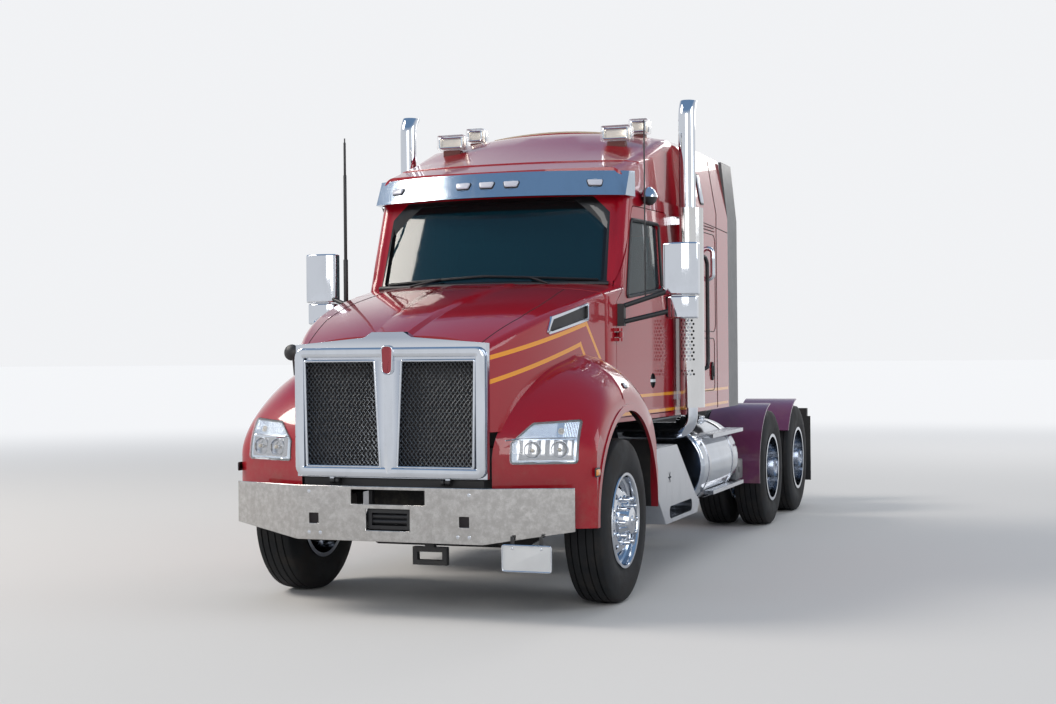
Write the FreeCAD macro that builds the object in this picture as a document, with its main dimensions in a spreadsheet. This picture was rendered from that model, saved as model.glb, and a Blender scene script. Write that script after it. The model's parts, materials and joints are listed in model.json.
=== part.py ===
import FreeCAD, Part
import math
import os
import re
import Sketcher
from FreeCAD import Vector

# Semi truck tractor unit, conventional cab with a high roof sleeper and two drive axles.
# Millimetres. X is the truck's left, Y runs backwards, Z is up and the tyres stand on Z 0.
# The pieces are drawn with the front axle at Y 0 and placed by frameShift.

os.makedirs("parts", exist_ok=True)
doc = FreeCAD.newDocument("Tractor")
sheet = doc.addObject("Spreadsheet::Sheet", "Sizes")

sizes = [
    # Layout along the truck
    ("frontOverhang", 1010),
    ("firstDriveY", 4740),
    ("tandemSpacing", 1320),
    ("rearOverhang", 830),
    ("cutOverrun", 60),
    ("seatGap", 0.3),
    ("runGap", 6),
    # Frame rails and crossmembers
    ("frameWidth", 860),
    ("railHeight", 270),
    ("railFlange", 88),
    ("railThick", 9),
    ("railTopZ", 1000),
    ("railFrontY", -860),
    ("memberDepth", 110),
    ("memberHeight", 190),
    ("memberThick", 10),
    # Front bumper
    ("bumperHalfFlat", 615),
    ("bumperHalfWidth", 1135),
    ("bumperSweep", 180),
    ("bumperTopZ", 800),
    ("bumperBottomZ", 465),
    ("bumperEndRise", 75),
    ("bumperThick", 10),
    ("bumperArmSide", 32),
    # Hood hinge and the band that closes the gap over the bumper
    ("bandHalf", 600),
    ("bandFrontY", -935),
    ("bandTopZ", 842),
    ("bandHeight", 60),
    ("hingeX", 360),
    ("hingePinRadius", 10),
    ("hingeEyeRadius", 20),
    ("hingeLength", 40),
    ("slotHalfWidth", 246),
    ("slotTopZ", 780),
    ("slotHeight", 90),
    ("winchHoleHalf", 146),
    ("winchHoleBottomZ", 532),
    ("winchHoleHeight", 133),
    ("towHoleX", 500),
    ("towHoleZ", 598),
    ("towHoleSide", 65),
    # Winch and its fairlead
    ("fairleadHalf", 139),
    ("fairleadHeight", 121),
    ("fairleadDepth", 55),
    ("fairleadSet", 25),
    ("fairleadWall", 22),
    ("rollerRadius", 16),
    ("winchDrumRadius", 62),
    ("winchHalf", 184),
    # Tow loop below the bumper
    ("towLoopX", 229),
    ("towLoopHalf", 112),
    ("towLoopHeight", 110),
    ("towLoopThick", 30),
    ("towLoopDepth", 40),
    ("towLoopBottomZ", 320),
    ("towLoopY", -905),
    # Engine block and radiator
    ("engineFrontY", -560),
    ("engineLength", 970),
    ("engineBottomZ", 640),
    ("engineHeight", 860),
    ("radiatorHalfWidth", 430),
    ("radiatorY", -800),
    ("radiatorDepth", 110),
    ("radiatorHeight", 590),
    # Tyres and rims
    ("tyreRadius", 525),
    ("tyreWidth", 276),
    ("treadWidth", 222),
    ("shoulderDrop", 14),
    ("beadRadius", 292),
    ("beadWidth", 236),
    ("flangeHeight", 15),
    ("bulgeRadius", 405),
    ("frontTyreX", 1075),
    ("outerDriveX", 1092),
    ("dualSpacing", 343),
    ("hubRadius", 108),
    ("hubLength", 70),
    ("driveHubEnd", 62),
    ("discThick", 24),
    ("discOffset", 72),
    ("discDish", 40),
    ("wellRadius", 236),
    ("boltCircle", 143),
    ("rimWall", 12),
    # Front axle, springs and knuckles
    ("kingpinX", 900),
    ("kingpinRadius", 24),
    ("kingpinHeight", 260),
    ("beamHeight", 95),
    ("beamDepth", 110),
    ("beamDrop", 150),
    ("springX", 430),
    ("springWidth", 90),
    ("springHalfLength", 640),
    ("springThick", 34),
    ("springArch", 90),
    ("drumRadius", 205),
    ("drumLength", 150),
    ("spindleRadius", 45),
    # Drive axles
    ("axleTubeRadius", 75),
    ("diffRadius", 205),
    ("diffDepth", 260),
    ("airBagRadius", 130),
    ("airBagX", 400),
    ("trailArmHeight", 70),
    ("trailArmWidth", 90),
    ("shaftRadius", 55),
    # Hood, a single moulding with the front fenders
    ("hoodWall", 14),
    ("hoodFrontY", -925),
    ("hoodRearY", 420),
    ("hoodFrontHalf", 640),
    ("hoodMidHalf", 838),
    ("hoodRearHalf", 945),
    ("hoodFrontShoulderZ", 1655),
    ("hoodMidShoulderZ", 1862),
    ("hoodRearShoulderZ", 2006),
    ("hoodFrontCrownZ", 1742),
    ("hoodMidCrownZ", 1932),
    ("hoodRearCrownZ", 2064),
    ("hoodShoulderRound", 50),
    ("hoodSideBottomZ", 1130),
    ("ridgeFrontHalf", 105),
    ("ridgeRearHalf", 215),
    ("ridgeFrontRise", 30),
    ("ridgeRearRise", 10),
    ("ridgeSlope", 26),
    ("archLipWidth", 42),
    ("archLipProud", 7),
    ("doorSweepZ", 1000),
    ("fenderInnerX", 610),
    ("fenderOuterX", 1215),
    ("fenderFrontZ", 950),
    ("fenderValanceZ", 545),
    ("fenderCrownY", 150),
    ("fenderCrownZ", 1600),
    ("fenderLipZ", 1310),
    ("fenderRearY", 735),
    ("fenderFrontInnerY", -915),
    ("fenderFrontOuterY", -640),
    ("archY", 60),
    ("archZ", 560),
    ("archRadius", 665),
    ("hoodPivotY", -970),
    ("hoodPivotZ", 830),
    ("ventFrontY", -400),
    ("ventRearY", 150),
    ("ventFrontZ", 1712),
    ("ventRearZ", 1812),
    ("ventHeight", 116),
    ("ventFrame", 16),
    ("ventDepth", 20),
    # Grille surround and the two mesh panels
    ("grilleDepth", 64.7),
    ("grilleHalfTop", 640),
    ("grilleHalfBottom", 633),
    ("grilleTopZ", 1664),
    ("grillePeakZ", 1737),
    ("grilleBottomZ", 850),
    ("grilleFrontY", -990),
    ("badgeHalf", 42),
    ("badgeBottomZ", 1478),
    ("badgeTopZ", 1652),
    ("badgeProud", 9),
    ("panelOuterTop", 566),
    ("panelOuterBottom", 554),
    ("panelInnerTop", 90),
    ("panelInnerBottom", 56),
    ("panelTopZ", 1562),
    ("panelBottomZ", 917),
    ("panelRound", 22),
    ("meshPitch", 42),
    ("meshWire", 9),
    ("meshThick", 6),
    ("meshSet", 22),
    # Headlights
    ("lampDepth", 70),
    ("lampInnerX", 738),
    ("lampOuterX", 1118),
    ("lampBottomZ", 934),
    ("lampInnerTopZ", 1136),
    ("lampOuterTopZ", 1198),
    ("lampProud", 12),
    # Cab
    ("cabWall", 45),
    ("cabFrontY", 430),
    ("cabRearY", 2100),
    ("cabBottomZ", 1120),
    ("cowlTopZ", 1950),
    ("cabTopZ", 2720),
    ("cabFrontHalf", 950),
    ("cabRearHalf", 1072),
    ("cabTopFrontHalf", 955),
    ("cabTopRearHalf", 1030),
    ("cabCorner", 95),
    ("screenBaseY", 620),
    ("screenTopY", 828),
    ("screenWrap", 158),
    ("screenHalfBottom", 880),
    ("screenHalfTop", 865),
    ("screenBottomZ", 2120),
    ("screenSillZ", 2078),
    ("screenTopZ", 2680),
    ("glassThick", 6),
    ("glassSet", 16),
    ("doorFrontY", 625),
    ("doorKneeY", 735),
    ("doorFrontTopY", 1045),
    ("doorNearX", 900),
    ("doorRearY", 1800),
    ("doorRearTopY", 1765),
    ("doorSillZ", 1150),
    ("doorBeltZ", 1940),
    ("doorTopZ", 2640),
    ("doorHingeX", 992),
    ("doorSwing", 65),
    ("doorHingeLowZ", 1320),
    ("doorHingeHighZ", 1720),
    ("doorPinRadius", 9),
    ("doorEyeRadius", 16),
    ("doorHingeHalf", 45),
    ("handleY", 1340),
    ("handleZ", 1392),
    ("handleRadius", 54),
    ("handleDepth", 16),
    ("handleBar", 20),
    ("windowBeltFrontZ", 1992),
    ("windowBeltRearZ", 2065),
    ("windowTopZ", 2530),
    ("windowFrontY", 845),
    ("windowFrontTopY", 1015),
    ("windowRearY", 1560),
    # Visor, roof cap and lights
    ("visorFrontY", 640),
    ("visorHalf", 960),
    ("visorBottomZ", 2700),
    ("visorHeight", 180),
    ("visorWrap", 255),
    ("visorDepth", 26),
    ("visorLean", 100),
    ("roofFrontY", 790),
    ("roofFrontZ", 2895),
    ("roofMidY", 1450),
    ("roofMidZ", 3110),
    ("roofRearZ", 3330),
    ("roofWall", 30),
    ("lightRadius", 34),
    ("lightDepth", 40),
    ("lightInnerX", 182),
    ("lightOuterX", 754),
    ("beaconFrontX", 668),
    ("beaconFrontY", 1683),
    ("beaconRearX", 688),
    ("beaconRearY", 2242),
    ("beaconFrontHalf", 115),
    ("beaconRearHalf", 78),
    ("beaconDepth", 105),
    ("beaconHeight", 118),
    ("beaconBaseHeight", 26),
    # Sleeper and side extenders
    ("sleeperHalf", 1120),
    ("sleeperRearY", 3400),
    ("sleeperBottomZ", 1130),
    ("sleeperShoulderZ", 3240),
    ("sleeperCrownZ", 3395),
    ("sleeperFrontCrownZ", 3335),
    ("sleeperRound", 90),
    ("sleeperWall", 45),
    ("extenderRearY", 3760),
    ("extenderTopZ", 3200),
    ("extenderThick", 26),
    # Interior
    ("dashDepth", 330),
    ("dashTopZ", 2040),
    ("dashBottomZ", 1640),
    ("wheelRingRadius", 225),
    ("wheelRimRadius", 16),
    ("wheelX", 500),
    ("wheelY", 1175),
    ("wheelZ", 1935),
    ("wheelTilt", 50),
    ("seatX", 520),
    ("seatWidth", 500),
    ("seatY", 1430),
    ("seatDepth", 500),
    ("seatBaseZ", 1640),
    ("seatCushion", 130),
    ("seatBackHeight", 720),
    ("seatBackThick", 130),
    # Fuel tanks with straps, and the steps
    ("tankX", 850),
    ("tankZ", 700),
    ("tankRadius", 330),
    ("tankFrontY", 2240),
    ("tankRearY", 3480),
    ("strapWidth", 60),
    ("strapThick", 5),
    ("stepBoxFrontY", 880),
    ("stepBoxRearY", 2150),
    ("stepBoxTopZ", 925),
    ("stepBoxBottomZ", 372),
    ("stepBoxOuterX", 1160),
    ("stepBoxInnerX", 560),
    ("treadStepZ", 500),
    ("treadStepHalf", 1195),
    ("treadThick", 30),
    ("tankPlateZ", 945),
    ("tankPlateInnerX", 1000),
    ("tankStepSet", 240),
    ("stepBoxTopRearY", 1480),
    ("stepBoxStepZ", 520),
    ("stepStarY", 1270),
    ("stepStarZ", 700),
    ("stepStarHalf", 42),
    ("stepStarWidth", 12),
    ("stepWellDepth", 170),
    ("stepWellHeight", 150),
    # Exhaust stacks and heat shields
    ("stackX", 1150),
    ("stackY", 1905),
    ("stackRadius", 63.5),
    ("stackTopZ", 3500),
    ("stackBottomZ", 1000),
    ("stackTipRadius", 170),
    ("shieldRadius", 118),
    ("shieldThick", 3),
    ("shieldBottomZ", 1180),
    ("shieldTopZ", 2680),
    ("shieldHoleRadius", 8.5),
    ("shieldHolePitch", 26.5),
    ("shieldHolesZ", 1541),
    ("shieldLowHolesZ", 1430),
    # Mirrors and antennas, carried by the doors
    ("mirrorX", 1372),
    ("mirrorY", 805),
    ("mirrorBottomZ", 1827),
    ("mirrorTopZ", 2348),
    ("mirrorWidth", 250),
    ("mirrorDepth", 96),
    ("mirrorArmRadius", 17),
    ("mirrorSplitZ", 1988),
    ("mirrorRound", 22),
    ("mirrorPlateHalf", 24),
    ("mirrorRootLowZ", 1800),
    ("mirrorRootHighZ", 1905),
    ("mirrorArmLowZ", 1880),
    ("mirrorArmHighZ", 2020),
    ("antennaX", 1140),
    ("antennaTopZ", 3190),
    ("antennaRadius", 5),
    # Fifth wheel
    ("fifthY", 5400),
    ("fifthTopZ", 1215),
    ("fifthHalfWidth", 457),
    ("fifthLength", 920),
    ("fifthThick", 38),
    ("fifthKingpinHalf", 25.5),
    ("fifthPivotZ", 1110),
    ("fifthPinRadius", 25),
    # Drive fenders, mud flaps and tail
    ("driveFenderHalfInner", 720),
    ("driveFenderHalfOuter", 1225),
    ("driveFenderGap", 62),
    ("fenderPostRadius", 20),
    ("driveFenderThick", 12),
    ("flapWidth", 600),
    ("flapThick", 12),
    ("flapBottomZ", 240),
    ("flapTopZ", 860),
    ("tailBeamHeight", 100),
    ("tailBeamHalf", 1180),
    ("tailBeamDepth", 60),
]
for row, (alias, number) in enumerate(sizes, start=1):
    sheet.set("A%d" % row, alias)
    sheet.set("B%d" % row, str(number))
    sheet.setAlias("B%d" % row, alias)
doc.recompute()

nodes = []


def bound(expression):
    # Sheet aliases in an expression become references to the sheet
    return re.sub(r"[A-Za-z]\w+", lambda word: "Sizes." + word.group(0), expression)


def size(expression):
    # The number that an expression of sheet aliases gives
    found = sheet.evalExpression(expression)
    return float(getattr(found, "Value", found))


frameShift = "(frontOverhang - firstDriveY - tandemSpacing - rearOverhang) / 2"
plusX = Vector(1, 0, 0)
plusY = Vector(0, 1, 0)
plusZ = Vector(0, 0, 1)
origin = Vector(0, 0, 0)


def placeNode(thing, name, place=("0", "0", "0")):
    # Names the piece and sets it in the truck's frame
    thing.Label = name
    thing.setExpression("Placement.Base.x", bound(place[0]))
    thing.setExpression("Placement.Base.y", bound("(" + place[1] + ") + " + frameShift))
    thing.setExpression("Placement.Base.z", bound(place[2]))
    nodes.append(thing)


def shapeNode(name, shape, place=("0", "0", "0")):
    # A piece whose shape Part's own functions make
    thing = doc.addObject("Part::Feature", "Shape_" + name)
    thing.Shape = shape
    placeNode(thing, name, place)
    return thing


def newBody(name):
    body = doc.addObject("PartDesign::Body", "Body_" + name)
    if hasattr(body, "AllowCompound"):
        body.AllowCompound = True
    return body


def sketchOn(body, plane, loops, start):
    # Loops are lists of corners, or circles as ("circle", x, y, radius), in sheet expressions
    sketch = body.newObject("Sketcher::SketchObject", "Sketch")
    role = [f for f in body.Origin.OriginFeatures if f.Role == plane + "_Plane"]
    sketch.AttachmentSupport = (role[0], [""])
    sketch.MapMode = "FlatFace"
    sign = "-1 * " if plane == "XZ" else ""
    sketch.setExpression("AttachmentOffset.Base.z", bound(sign + "(" + start + ")"))
    edge = 0
    for loop in loops:
        if loop[0] == "circle":
            centre = Vector(size(loop[1]), size(loop[2]), 0)
            sketch.addGeometry(Part.Circle(centre, plusZ, size(loop[3])))
            pin(sketch, edge, 3, loop[1], loop[2])
            ring = sketch.addConstraint(Sketcher.Constraint("Radius", edge, size(loop[3])))
            sketch.setExpression("Constraints[%d]" % ring, bound(loop[3]))
            edge += 1
            continue
        count = len(loop)
        corners = [Vector(size(x), size(y), 0) for x, y in loop]
        for index in range(count):
            sketch.addGeometry(Part.LineSegment(corners[index], corners[(index + 1) % count]))
        for index in range(count):
            after = edge + (index + 1) % count
            sketch.addConstraint(Sketcher.Constraint("Coincident", edge + index, 2, after, 1))
        for index, (x, y) in enumerate(loop):
            pin(sketch, edge + index, 1, x, y)
        edge += count
    return sketch


def pin(sketch, edge, point, x, y):
    # Ties one point of the sketch to two sheet expressions
    for kind, expression in (("DistanceX", x), ("DistanceY", y)):
        tie = Sketcher.Constraint(kind, -1, 1, edge, point, size(expression))
        sketch.setExpression("Constraints[%d]" % sketch.addConstraint(tie), bound(expression))


def pad(body, plane, loops, start, end):
    # Adds the loops' area from start to end along the plane's axis
    feature = body.newObject("PartDesign::Pad", "Pad")
    feature.Profile = sketchOn(body, plane, loops, start)
    feature.Reversed = plane == "XZ"
    feature.setExpression("Length", bound("(" + end + ") - (" + start + ")"))
    return feature


def pocket(body, plane, loops, start, end):
    # Cuts the loops' area from start to end along the plane's axis
    doc.recompute()
    feature = body.newObject("PartDesign::Pocket", "Pocket")
    feature.Profile = sketchOn(body, plane, loops, start)
    feature.Reversed = plane != "XZ"
    feature.setExpression("Length", bound("(" + end + ") - (" + start + ")"))
    return feature


def revolveAboutX(body, loop, kind="Revolution"):
    # Turns a profile of (x, radius) corners about the X axis
    if kind == "Groove":
        doc.recompute()
    feature = body.newObject("PartDesign::" + kind, kind)
    profile = sketchOn(body, "XZ", [loop], "0")
    feature.Profile = profile
    feature.ReferenceAxis = (profile, ["H_Axis"])
    feature.Angle = 360
    return feature


def rectangle(x0, y0, x1, y1):
    return [(x0, y0), (x1, y0), (x1, y1), (x0, y1)]


def mirrored(corners):
    return [("-1 * (" + x + ")", y) for x, y in reversed(corners)]


def minus(expression):
    return "-1 * (" + expression + ")"


def boxShape(x0, y0, z0, x1, y1, z1):
    return Part.makeBox(x1 - x0, y1 - y0, z1 - z0, Vector(x0, y0, z0))


def tubeShape(a, b, radius):
    # A round bar from a to b
    return Part.makeCylinder(radius, (b - a).Length, a, b - a)


def bentBar(points, radius, bend):
    # A round bar along straight runs with a rounded corner at each inner point
    edges = []
    last = points[0]
    for before, corner, after in zip(points, points[1:], points[2:]):
        back = (before - corner).normalize()
        ahead = (after - corner).normalize()
        half = back.getAngle(ahead) / 2
        run = bend / math.tan(half)
        middle = (back + ahead).normalize()
        centre = corner + middle * (bend / math.sin(half))
        enter = corner + back * run
        leave = corner + ahead * run
        edges.append(Part.LineSegment(last, enter).toShape())
        edges.append(Part.Arc(enter, centre - middle * bend, leave).toShape())
        last = leave
    edges.append(Part.LineSegment(last, points[-1]).toShape())
    path = Part.Wire(edges)
    ring = Part.Wire(Part.makeCircle(radius, points[0], points[1] - points[0]))
    return path.makePipeShell([ring], True, False, 2)


def bothSides(shape):
    # A left piece and its right twin
    return Part.makeCompound([shape, shape.mirror(origin, plusX)])


def prismX(outline, x0, x1):
    # An outline of (y, z) corners made solid from x0 to x1
    corners = [Vector(x0, y, z) for y, z in outline]
    face = Part.Face(Part.makePolygon(corners + corners[:1]))
    return face.extrude(Vector(x1 - x0, 0, 0))


def prismZ(outline, z0, z1):
    corners = [Vector(x, y, z0) for x, y in outline]
    face = Part.Face(Part.makePolygon(corners + corners[:1]))
    return face.extrude(Vector(0, 0, z1 - z0))


def prismY(outline, y0, y1):
    corners = [Vector(x, y0, z) for x, z in outline]
    face = Part.Face(Part.makePolygon(corners + corners[:1]))
    return face.extrude(Vector(0, y1 - y0, 0))


def line(a, b):
    return Part.LineSegment(a, b).toShape()


def arc(a, b, c):
    return Part.Arc(a, b, c).toShape()


def blend(a, b, share):
    return a + (b - a) * share


# Every alias as a plain number, for the pieces that Part's functions make
class Numbers:
    pass


n = Numbers()
for alias, number in sizes:
    setattr(n, alias, size(alias))
n.secondDriveY = n.firstDriveY + n.tandemSpacing
n.rearEndY = n.secondDriveY + n.rearOverhang


# Two C section frame rails, and the crossmembers between their webs
def makeFrame():
    rails = newBody("frame_rails")
    web = [("frameWidth / 2 - railFlange", "railTopZ"), ("frameWidth / 2", "railTopZ"),
           ("frameWidth / 2", "railTopZ - railHeight"),
           ("frameWidth / 2 - railFlange", "railTopZ - railHeight"),
           ("frameWidth / 2 - railFlange", "railTopZ - railHeight + railThick"),
           ("frameWidth / 2 - railThick", "railTopZ - railHeight + railThick"),
           ("frameWidth / 2 - railThick", "railTopZ - railThick"),
           ("frameWidth / 2 - railFlange", "railTopZ - railThick")]
    end = "firstDriveY + tandemSpacing + rearOverhang - tailBeamDepth"
    pad(rails, "XZ", [web, mirrored(web)], "railFrontY", end)
    placeNode(rails, "frame_rails")
    body = newBody("crossmembers")
    inner = "(frameWidth / 2 - railThick - seatGap)"
    topZ = "railTopZ - (railHeight - memberHeight) / 2"
    bottomZ = "railTopZ - (railHeight + memberHeight) / 2"
    channel = rectangle(minus(inner), bottomZ, inner, topZ)
    hollow = rectangle(minus(inner + " + cutOverrun"), bottomZ + " + memberThick",
                       inner + " + cutOverrun", topZ + " - memberThick")
    for placeY in memberPlaces:
        pad(body, "XZ", [channel], placeY, placeY + " + memberDepth")
        pocket(body, "XZ", [hollow], placeY + " + memberThick", placeY + " + memberDepth")
    mount = rectangle("frameWidth / 2 - railFlange", "railTopZ + seatGap",
                      "frameWidth / 2", "cabBottomZ - seatGap")
    rise = rectangle("frameWidth / 2 - railFlange", "railTopZ + seatGap",
                     "frameWidth / 2", "sleeperBottomZ - seatGap")
    for loop, placeY in ((mount, "screenBaseY"), (mount, "cabRearY - 3 * memberDepth"),
                         (rise, "sleeperRearY - 3 * memberDepth")):
        pad(body, "XZ", [loop, mirrored(loop)], placeY, placeY + " + memberDepth")
    arm = rectangle("frameWidth / 2 - railFlange", "bumperTopZ - 2 * bumperArmSide",
                    "frameWidth / 2", "bumperTopZ - bumperArmSide")
    pad(body, "XZ", [arm, mirrored(arm)], "bumperThick + seatGap - frontOverhang",
        "railFrontY - seatGap")
    placeNode(body, "crossmembers")


memberPlaces = ["railFrontY", "engineFrontY + engineLength + memberDepth * 6",
                "tankRearY - memberDepth", "firstDriveY - memberDepth * 4",
                "firstDriveY + tandemSpacing / 2 - memberDepth / 2",
                "firstDriveY + tandemSpacing + memberDepth * 4"]


# Chromed bumper, flat in the middle and swept back at both ends
def makeBumper():
    body = newBody("bumper")
    front = minus("frontOverhang")
    outer = [("-1 * bumperHalfWidth", front + " + bumperSweep"), ("-1 * bumperHalfFlat", front),
             ("bumperHalfFlat", front), ("bumperHalfWidth", front + " + bumperSweep"),
             ("bumperHalfWidth", front + " + bumperSweep + bumperThick"),
             ("bumperHalfFlat", front + " + bumperThick"),
             ("-1 * bumperHalfFlat", front + " + bumperThick"),
             ("-1 * bumperHalfWidth", front + " + bumperSweep + bumperThick")]
    pad(body, "XY", [outer], "bumperBottomZ", "bumperTopZ")
    far = "bumperSweep + bumperThick + cutOverrun - frontOverhang"
    cut = [("bumperHalfFlat", "bumperBottomZ"),
           ("bumperHalfWidth + cutOverrun", "bumperBottomZ - cutOverrun"),
           ("bumperHalfWidth + cutOverrun", "bumperBottomZ + bumperEndRise"),
           ("bumperHalfWidth", "bumperBottomZ + bumperEndRise")]
    slot = rectangle("-1 * slotHalfWidth", "slotTopZ - slotHeight", "slotHalfWidth", "slotTopZ")
    winch = rectangle("-1 * winchHoleHalf", "winchHoleBottomZ", "winchHoleHalf",
                      "winchHoleBottomZ + winchHoleHeight")
    square = rectangle("towHoleX - towHoleSide / 2", "towHoleZ - towHoleSide / 2",
                       "towHoleX + towHoleSide / 2", "towHoleZ + towHoleSide / 2")
    for loop in (cut, mirrored(cut), slot, winch, square, mirrored(square)):
        pocket(body, "XZ", [loop], front + " - cutOverrun", far)
    placeNode(body, "bumper")


# Band over the bumper, with the brackets and pins that the hood tilts on
def makeHoodHinge():
    top = n.bandTopZ
    rear = n.railFrontY - n.seatGap
    band = boxShape(-n.bandHalf, n.bandFrontY, top - n.bandHeight, n.bandHalf, rear, top)
    parts = []
    for side in (-1, 1):
        near, far = sorted((side * n.hingeX, side * (n.hingeX - n.hingeEyeRadius)))
        centre = Vector(near, n.hoodPivotY, n.hoodPivotZ)
        parts.append(Part.makeCylinder(n.hingeEyeRadius, far - near, centre, plusX))
        parts.append(boxShape(near, n.hoodPivotY, n.hoodPivotZ - n.hingeEyeRadius, far, rear, top))
        start = Vector(side * n.hingeX, n.hoodPivotY, n.hoodPivotZ)
        parts.append(tubeShape(start, start + Vector(side * n.hingeLength, 0, 0), n.hingePinRadius))
    shapeNode("hood_hinge", band.multiFuse(parts))


makeFrame()
makeBumper()
makeHoodHinge()


# Winch drum and roller fairlead that fill the bumper's lower opening
def makeWinch():
    y = -n.frontOverhang + n.fairleadSet
    z = n.winchHoleBottomZ + n.winchHoleHeight / 2
    half = n.fairleadHalf
    wall = n.fairleadWall
    high = n.fairleadHeight / 2
    frame = boxShape(-half, y, z - high, half, y + n.fairleadDepth, z + high)
    hole = boxShape(-half + wall, y - n.cutOverrun, z - high + wall,
                    half - wall, y + n.fairleadDepth + n.cutOverrun, z + high - wall)
    frame = frame.cut(hole)
    rollers = []
    middleY = y + n.fairleadDepth / 2
    for side in (-1, 1):
        low = Vector(-half + wall, middleY, z + side * (high - wall * 1.3 - n.rollerRadius))
        rollers.append(tubeShape(low, low + Vector(2 * (half - wall), 0, 0), n.rollerRadius))
    frame = frame.multiFuse(rollers)
    drumY = y + n.fairleadDepth + n.winchDrumRadius
    drum = tubeShape(Vector(-n.winchHalf, drumY, z), Vector(n.winchHalf, drumY, z),
                     n.winchDrumRadius * 0.62)
    ends = []
    for side in (-1, 1):
        edge = side * n.winchHalf
        inside = side * (n.winchHalf - wall)
        ends.append(tubeShape(Vector(edge, drumY, z), Vector(inside, drumY, z), n.winchDrumRadius))
    # Side plates that hang from the first crossmember, and a tray from them to the fairlead
    plates = []
    top = n.railTopZ - (n.railHeight + n.memberHeight) / 2 - n.seatGap
    rearY = drumY + n.winchDrumRadius * 0.7
    low = z - n.winchDrumRadius - wall * 1.5
    for side in (-1, 1):
        near, far = sorted((side * (n.winchHalf + wall / 2), side * (n.winchHalf - wall / 2)))
        plates.append(boxShape(near, n.railFrontY, low, far, rearY, top))
    tray = boxShape(-n.winchHalf, y + n.fairleadDepth / 2, low, n.winchHalf, rearY, low + wall)
    lip = boxShape(-half / 2, y + n.fairleadDepth / 2, low + wall / 2, half / 2, y + n.fairleadDepth,
                   z - high + wall / 2)
    shapeNode("winch", frame.multiFuse([drum, tray, lip] + ends + plates))


# Square tow loop that hangs from the frame behind the bumper
def makeTowLoop():
    x0 = n.towLoopX - n.towLoopHalf
    x1 = n.towLoopX + n.towLoopHalf
    y1 = n.towLoopY + n.towLoopDepth
    z0 = n.towLoopBottomZ
    z1 = z0 + n.towLoopHeight
    thick = n.towLoopThick
    ring = boxShape(x0, n.towLoopY, z0, x1, y1, z1)
    ring = ring.cut(boxShape(x0 + thick, n.towLoopY - n.cutOverrun, z0 + thick,
                             x1 - thick, y1 + n.cutOverrun, z1 - thick))
    inner = n.frameWidth / 2 - n.railFlange
    post = boxShape(n.towLoopX - thick, n.towLoopY, z1, n.towLoopX + thick, y1,
                    n.railTopZ - n.railHeight - thick)
    bar = boxShape(n.towLoopX - thick, n.towLoopY, n.railTopZ - n.railHeight - thick,
                   inner + n.railFlange, y1 + n.railFrontY - n.towLoopY,
                   n.railTopZ - n.railHeight - n.seatGap)
    shapeNode("tow_loop", ring.multiFuse([post, bar]))


# Plain block for the closed engine, and the radiator that shows through the mesh
def makeEngine():
    engine = doc.addObject("Part::Box", "EngineBox")
    half = "(frameWidth / 2 - railFlange - seatGap)"
    for field, alias in (("Length", "2 * " + half), ("Width", "engineLength"),
                         ("Height", "engineHeight")):
        engine.setExpression(field, bound(alias))
    placeNode(engine, "engine_block", (minus(half), "engineFrontY", "engineBottomZ"))
    radiator = doc.addObject("Part::Box", "RadiatorBox")
    for field, alias in (("Length", "2 * radiatorHalfWidth"), ("Width", "radiatorDepth"),
                         ("Height", "radiatorHeight")):
        radiator.setExpression(field, bound(alias))
    placeNode(radiator, "radiator",
              ("-1 * radiatorHalfWidth", "radiatorY", "railTopZ + seatGap"))


makeWinch()
makeTowLoop()
makeEngine()


# Tyre and rim profiles, (x, radius) corners about the wheel's own axis
def tyreProfile(middle):
    half = "tyreWidth / 2"
    bead = "beadWidth / 2"
    tread = "treadWidth / 2"
    rise = "(bulgeRadius - beadRadius)"
    right = [(bead, "beadRadius"), (bead, "beadRadius + flangeHeight + seatGap"),
             (half + " - shoulderDrop / 2", "beadRadius + 0.5 * " + rise),
             (half, "bulgeRadius"), (half + " - shoulderDrop / 2", "bulgeRadius + 0.5 * " + rise),
             (tread, "tyreRadius - shoulderDrop"), (tread + " * 0.8", "tyreRadius")]
    loop = [(middle + " + " + x, r) for x, r in right]
    loop += [(middle + " - (" + x + ")", r) for x, r in reversed(right)]
    return loop


def rimProfile(middle, side, disc, face, centre):
    # One closed section: barrel with two flanges, pressed disc and the centre's corners.
    # disc, face and centre lie along the axis towards side, from the tyre's middle.
    def at(x):
        return middle + " + " + side + " * (" + x + ")"
    half = "beadWidth / 2"
    inner = "beadRadius - seatGap - rimWall"
    outer = "beadRadius - seatGap"
    bolts = "boltCircle + 3 * rimWall"
    loop = [(minus(half) + " - flangeHeight", inner), (disc + " - discThick", inner),
            (disc + " - discThick", "wellRadius"), (face + " - discThick", bolts)]
    loop += centre
    loop += [(face, bolts), (disc, "wellRadius"), (disc, inner), (half + " + flangeHeight", inner),
             (half + " + flangeHeight", outer + " + flangeHeight"),
             (half + " + flangeHeight - rimWall", outer + " + flangeHeight"),
             (half + " + flangeHeight - rimWall", outer),
             (minus(half) + " - flangeHeight + rimWall", outer),
             (minus(half) + " - flangeHeight + rimWall", outer + " + flangeHeight"),
             (minus(half) + " - flangeHeight", outer + " + flangeHeight")]
    return [(at(x), r) for x, r in loop]


sides = [("left", "1"), ("right", "-1")]
hole = "spindleRadius + seatGap"


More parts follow.
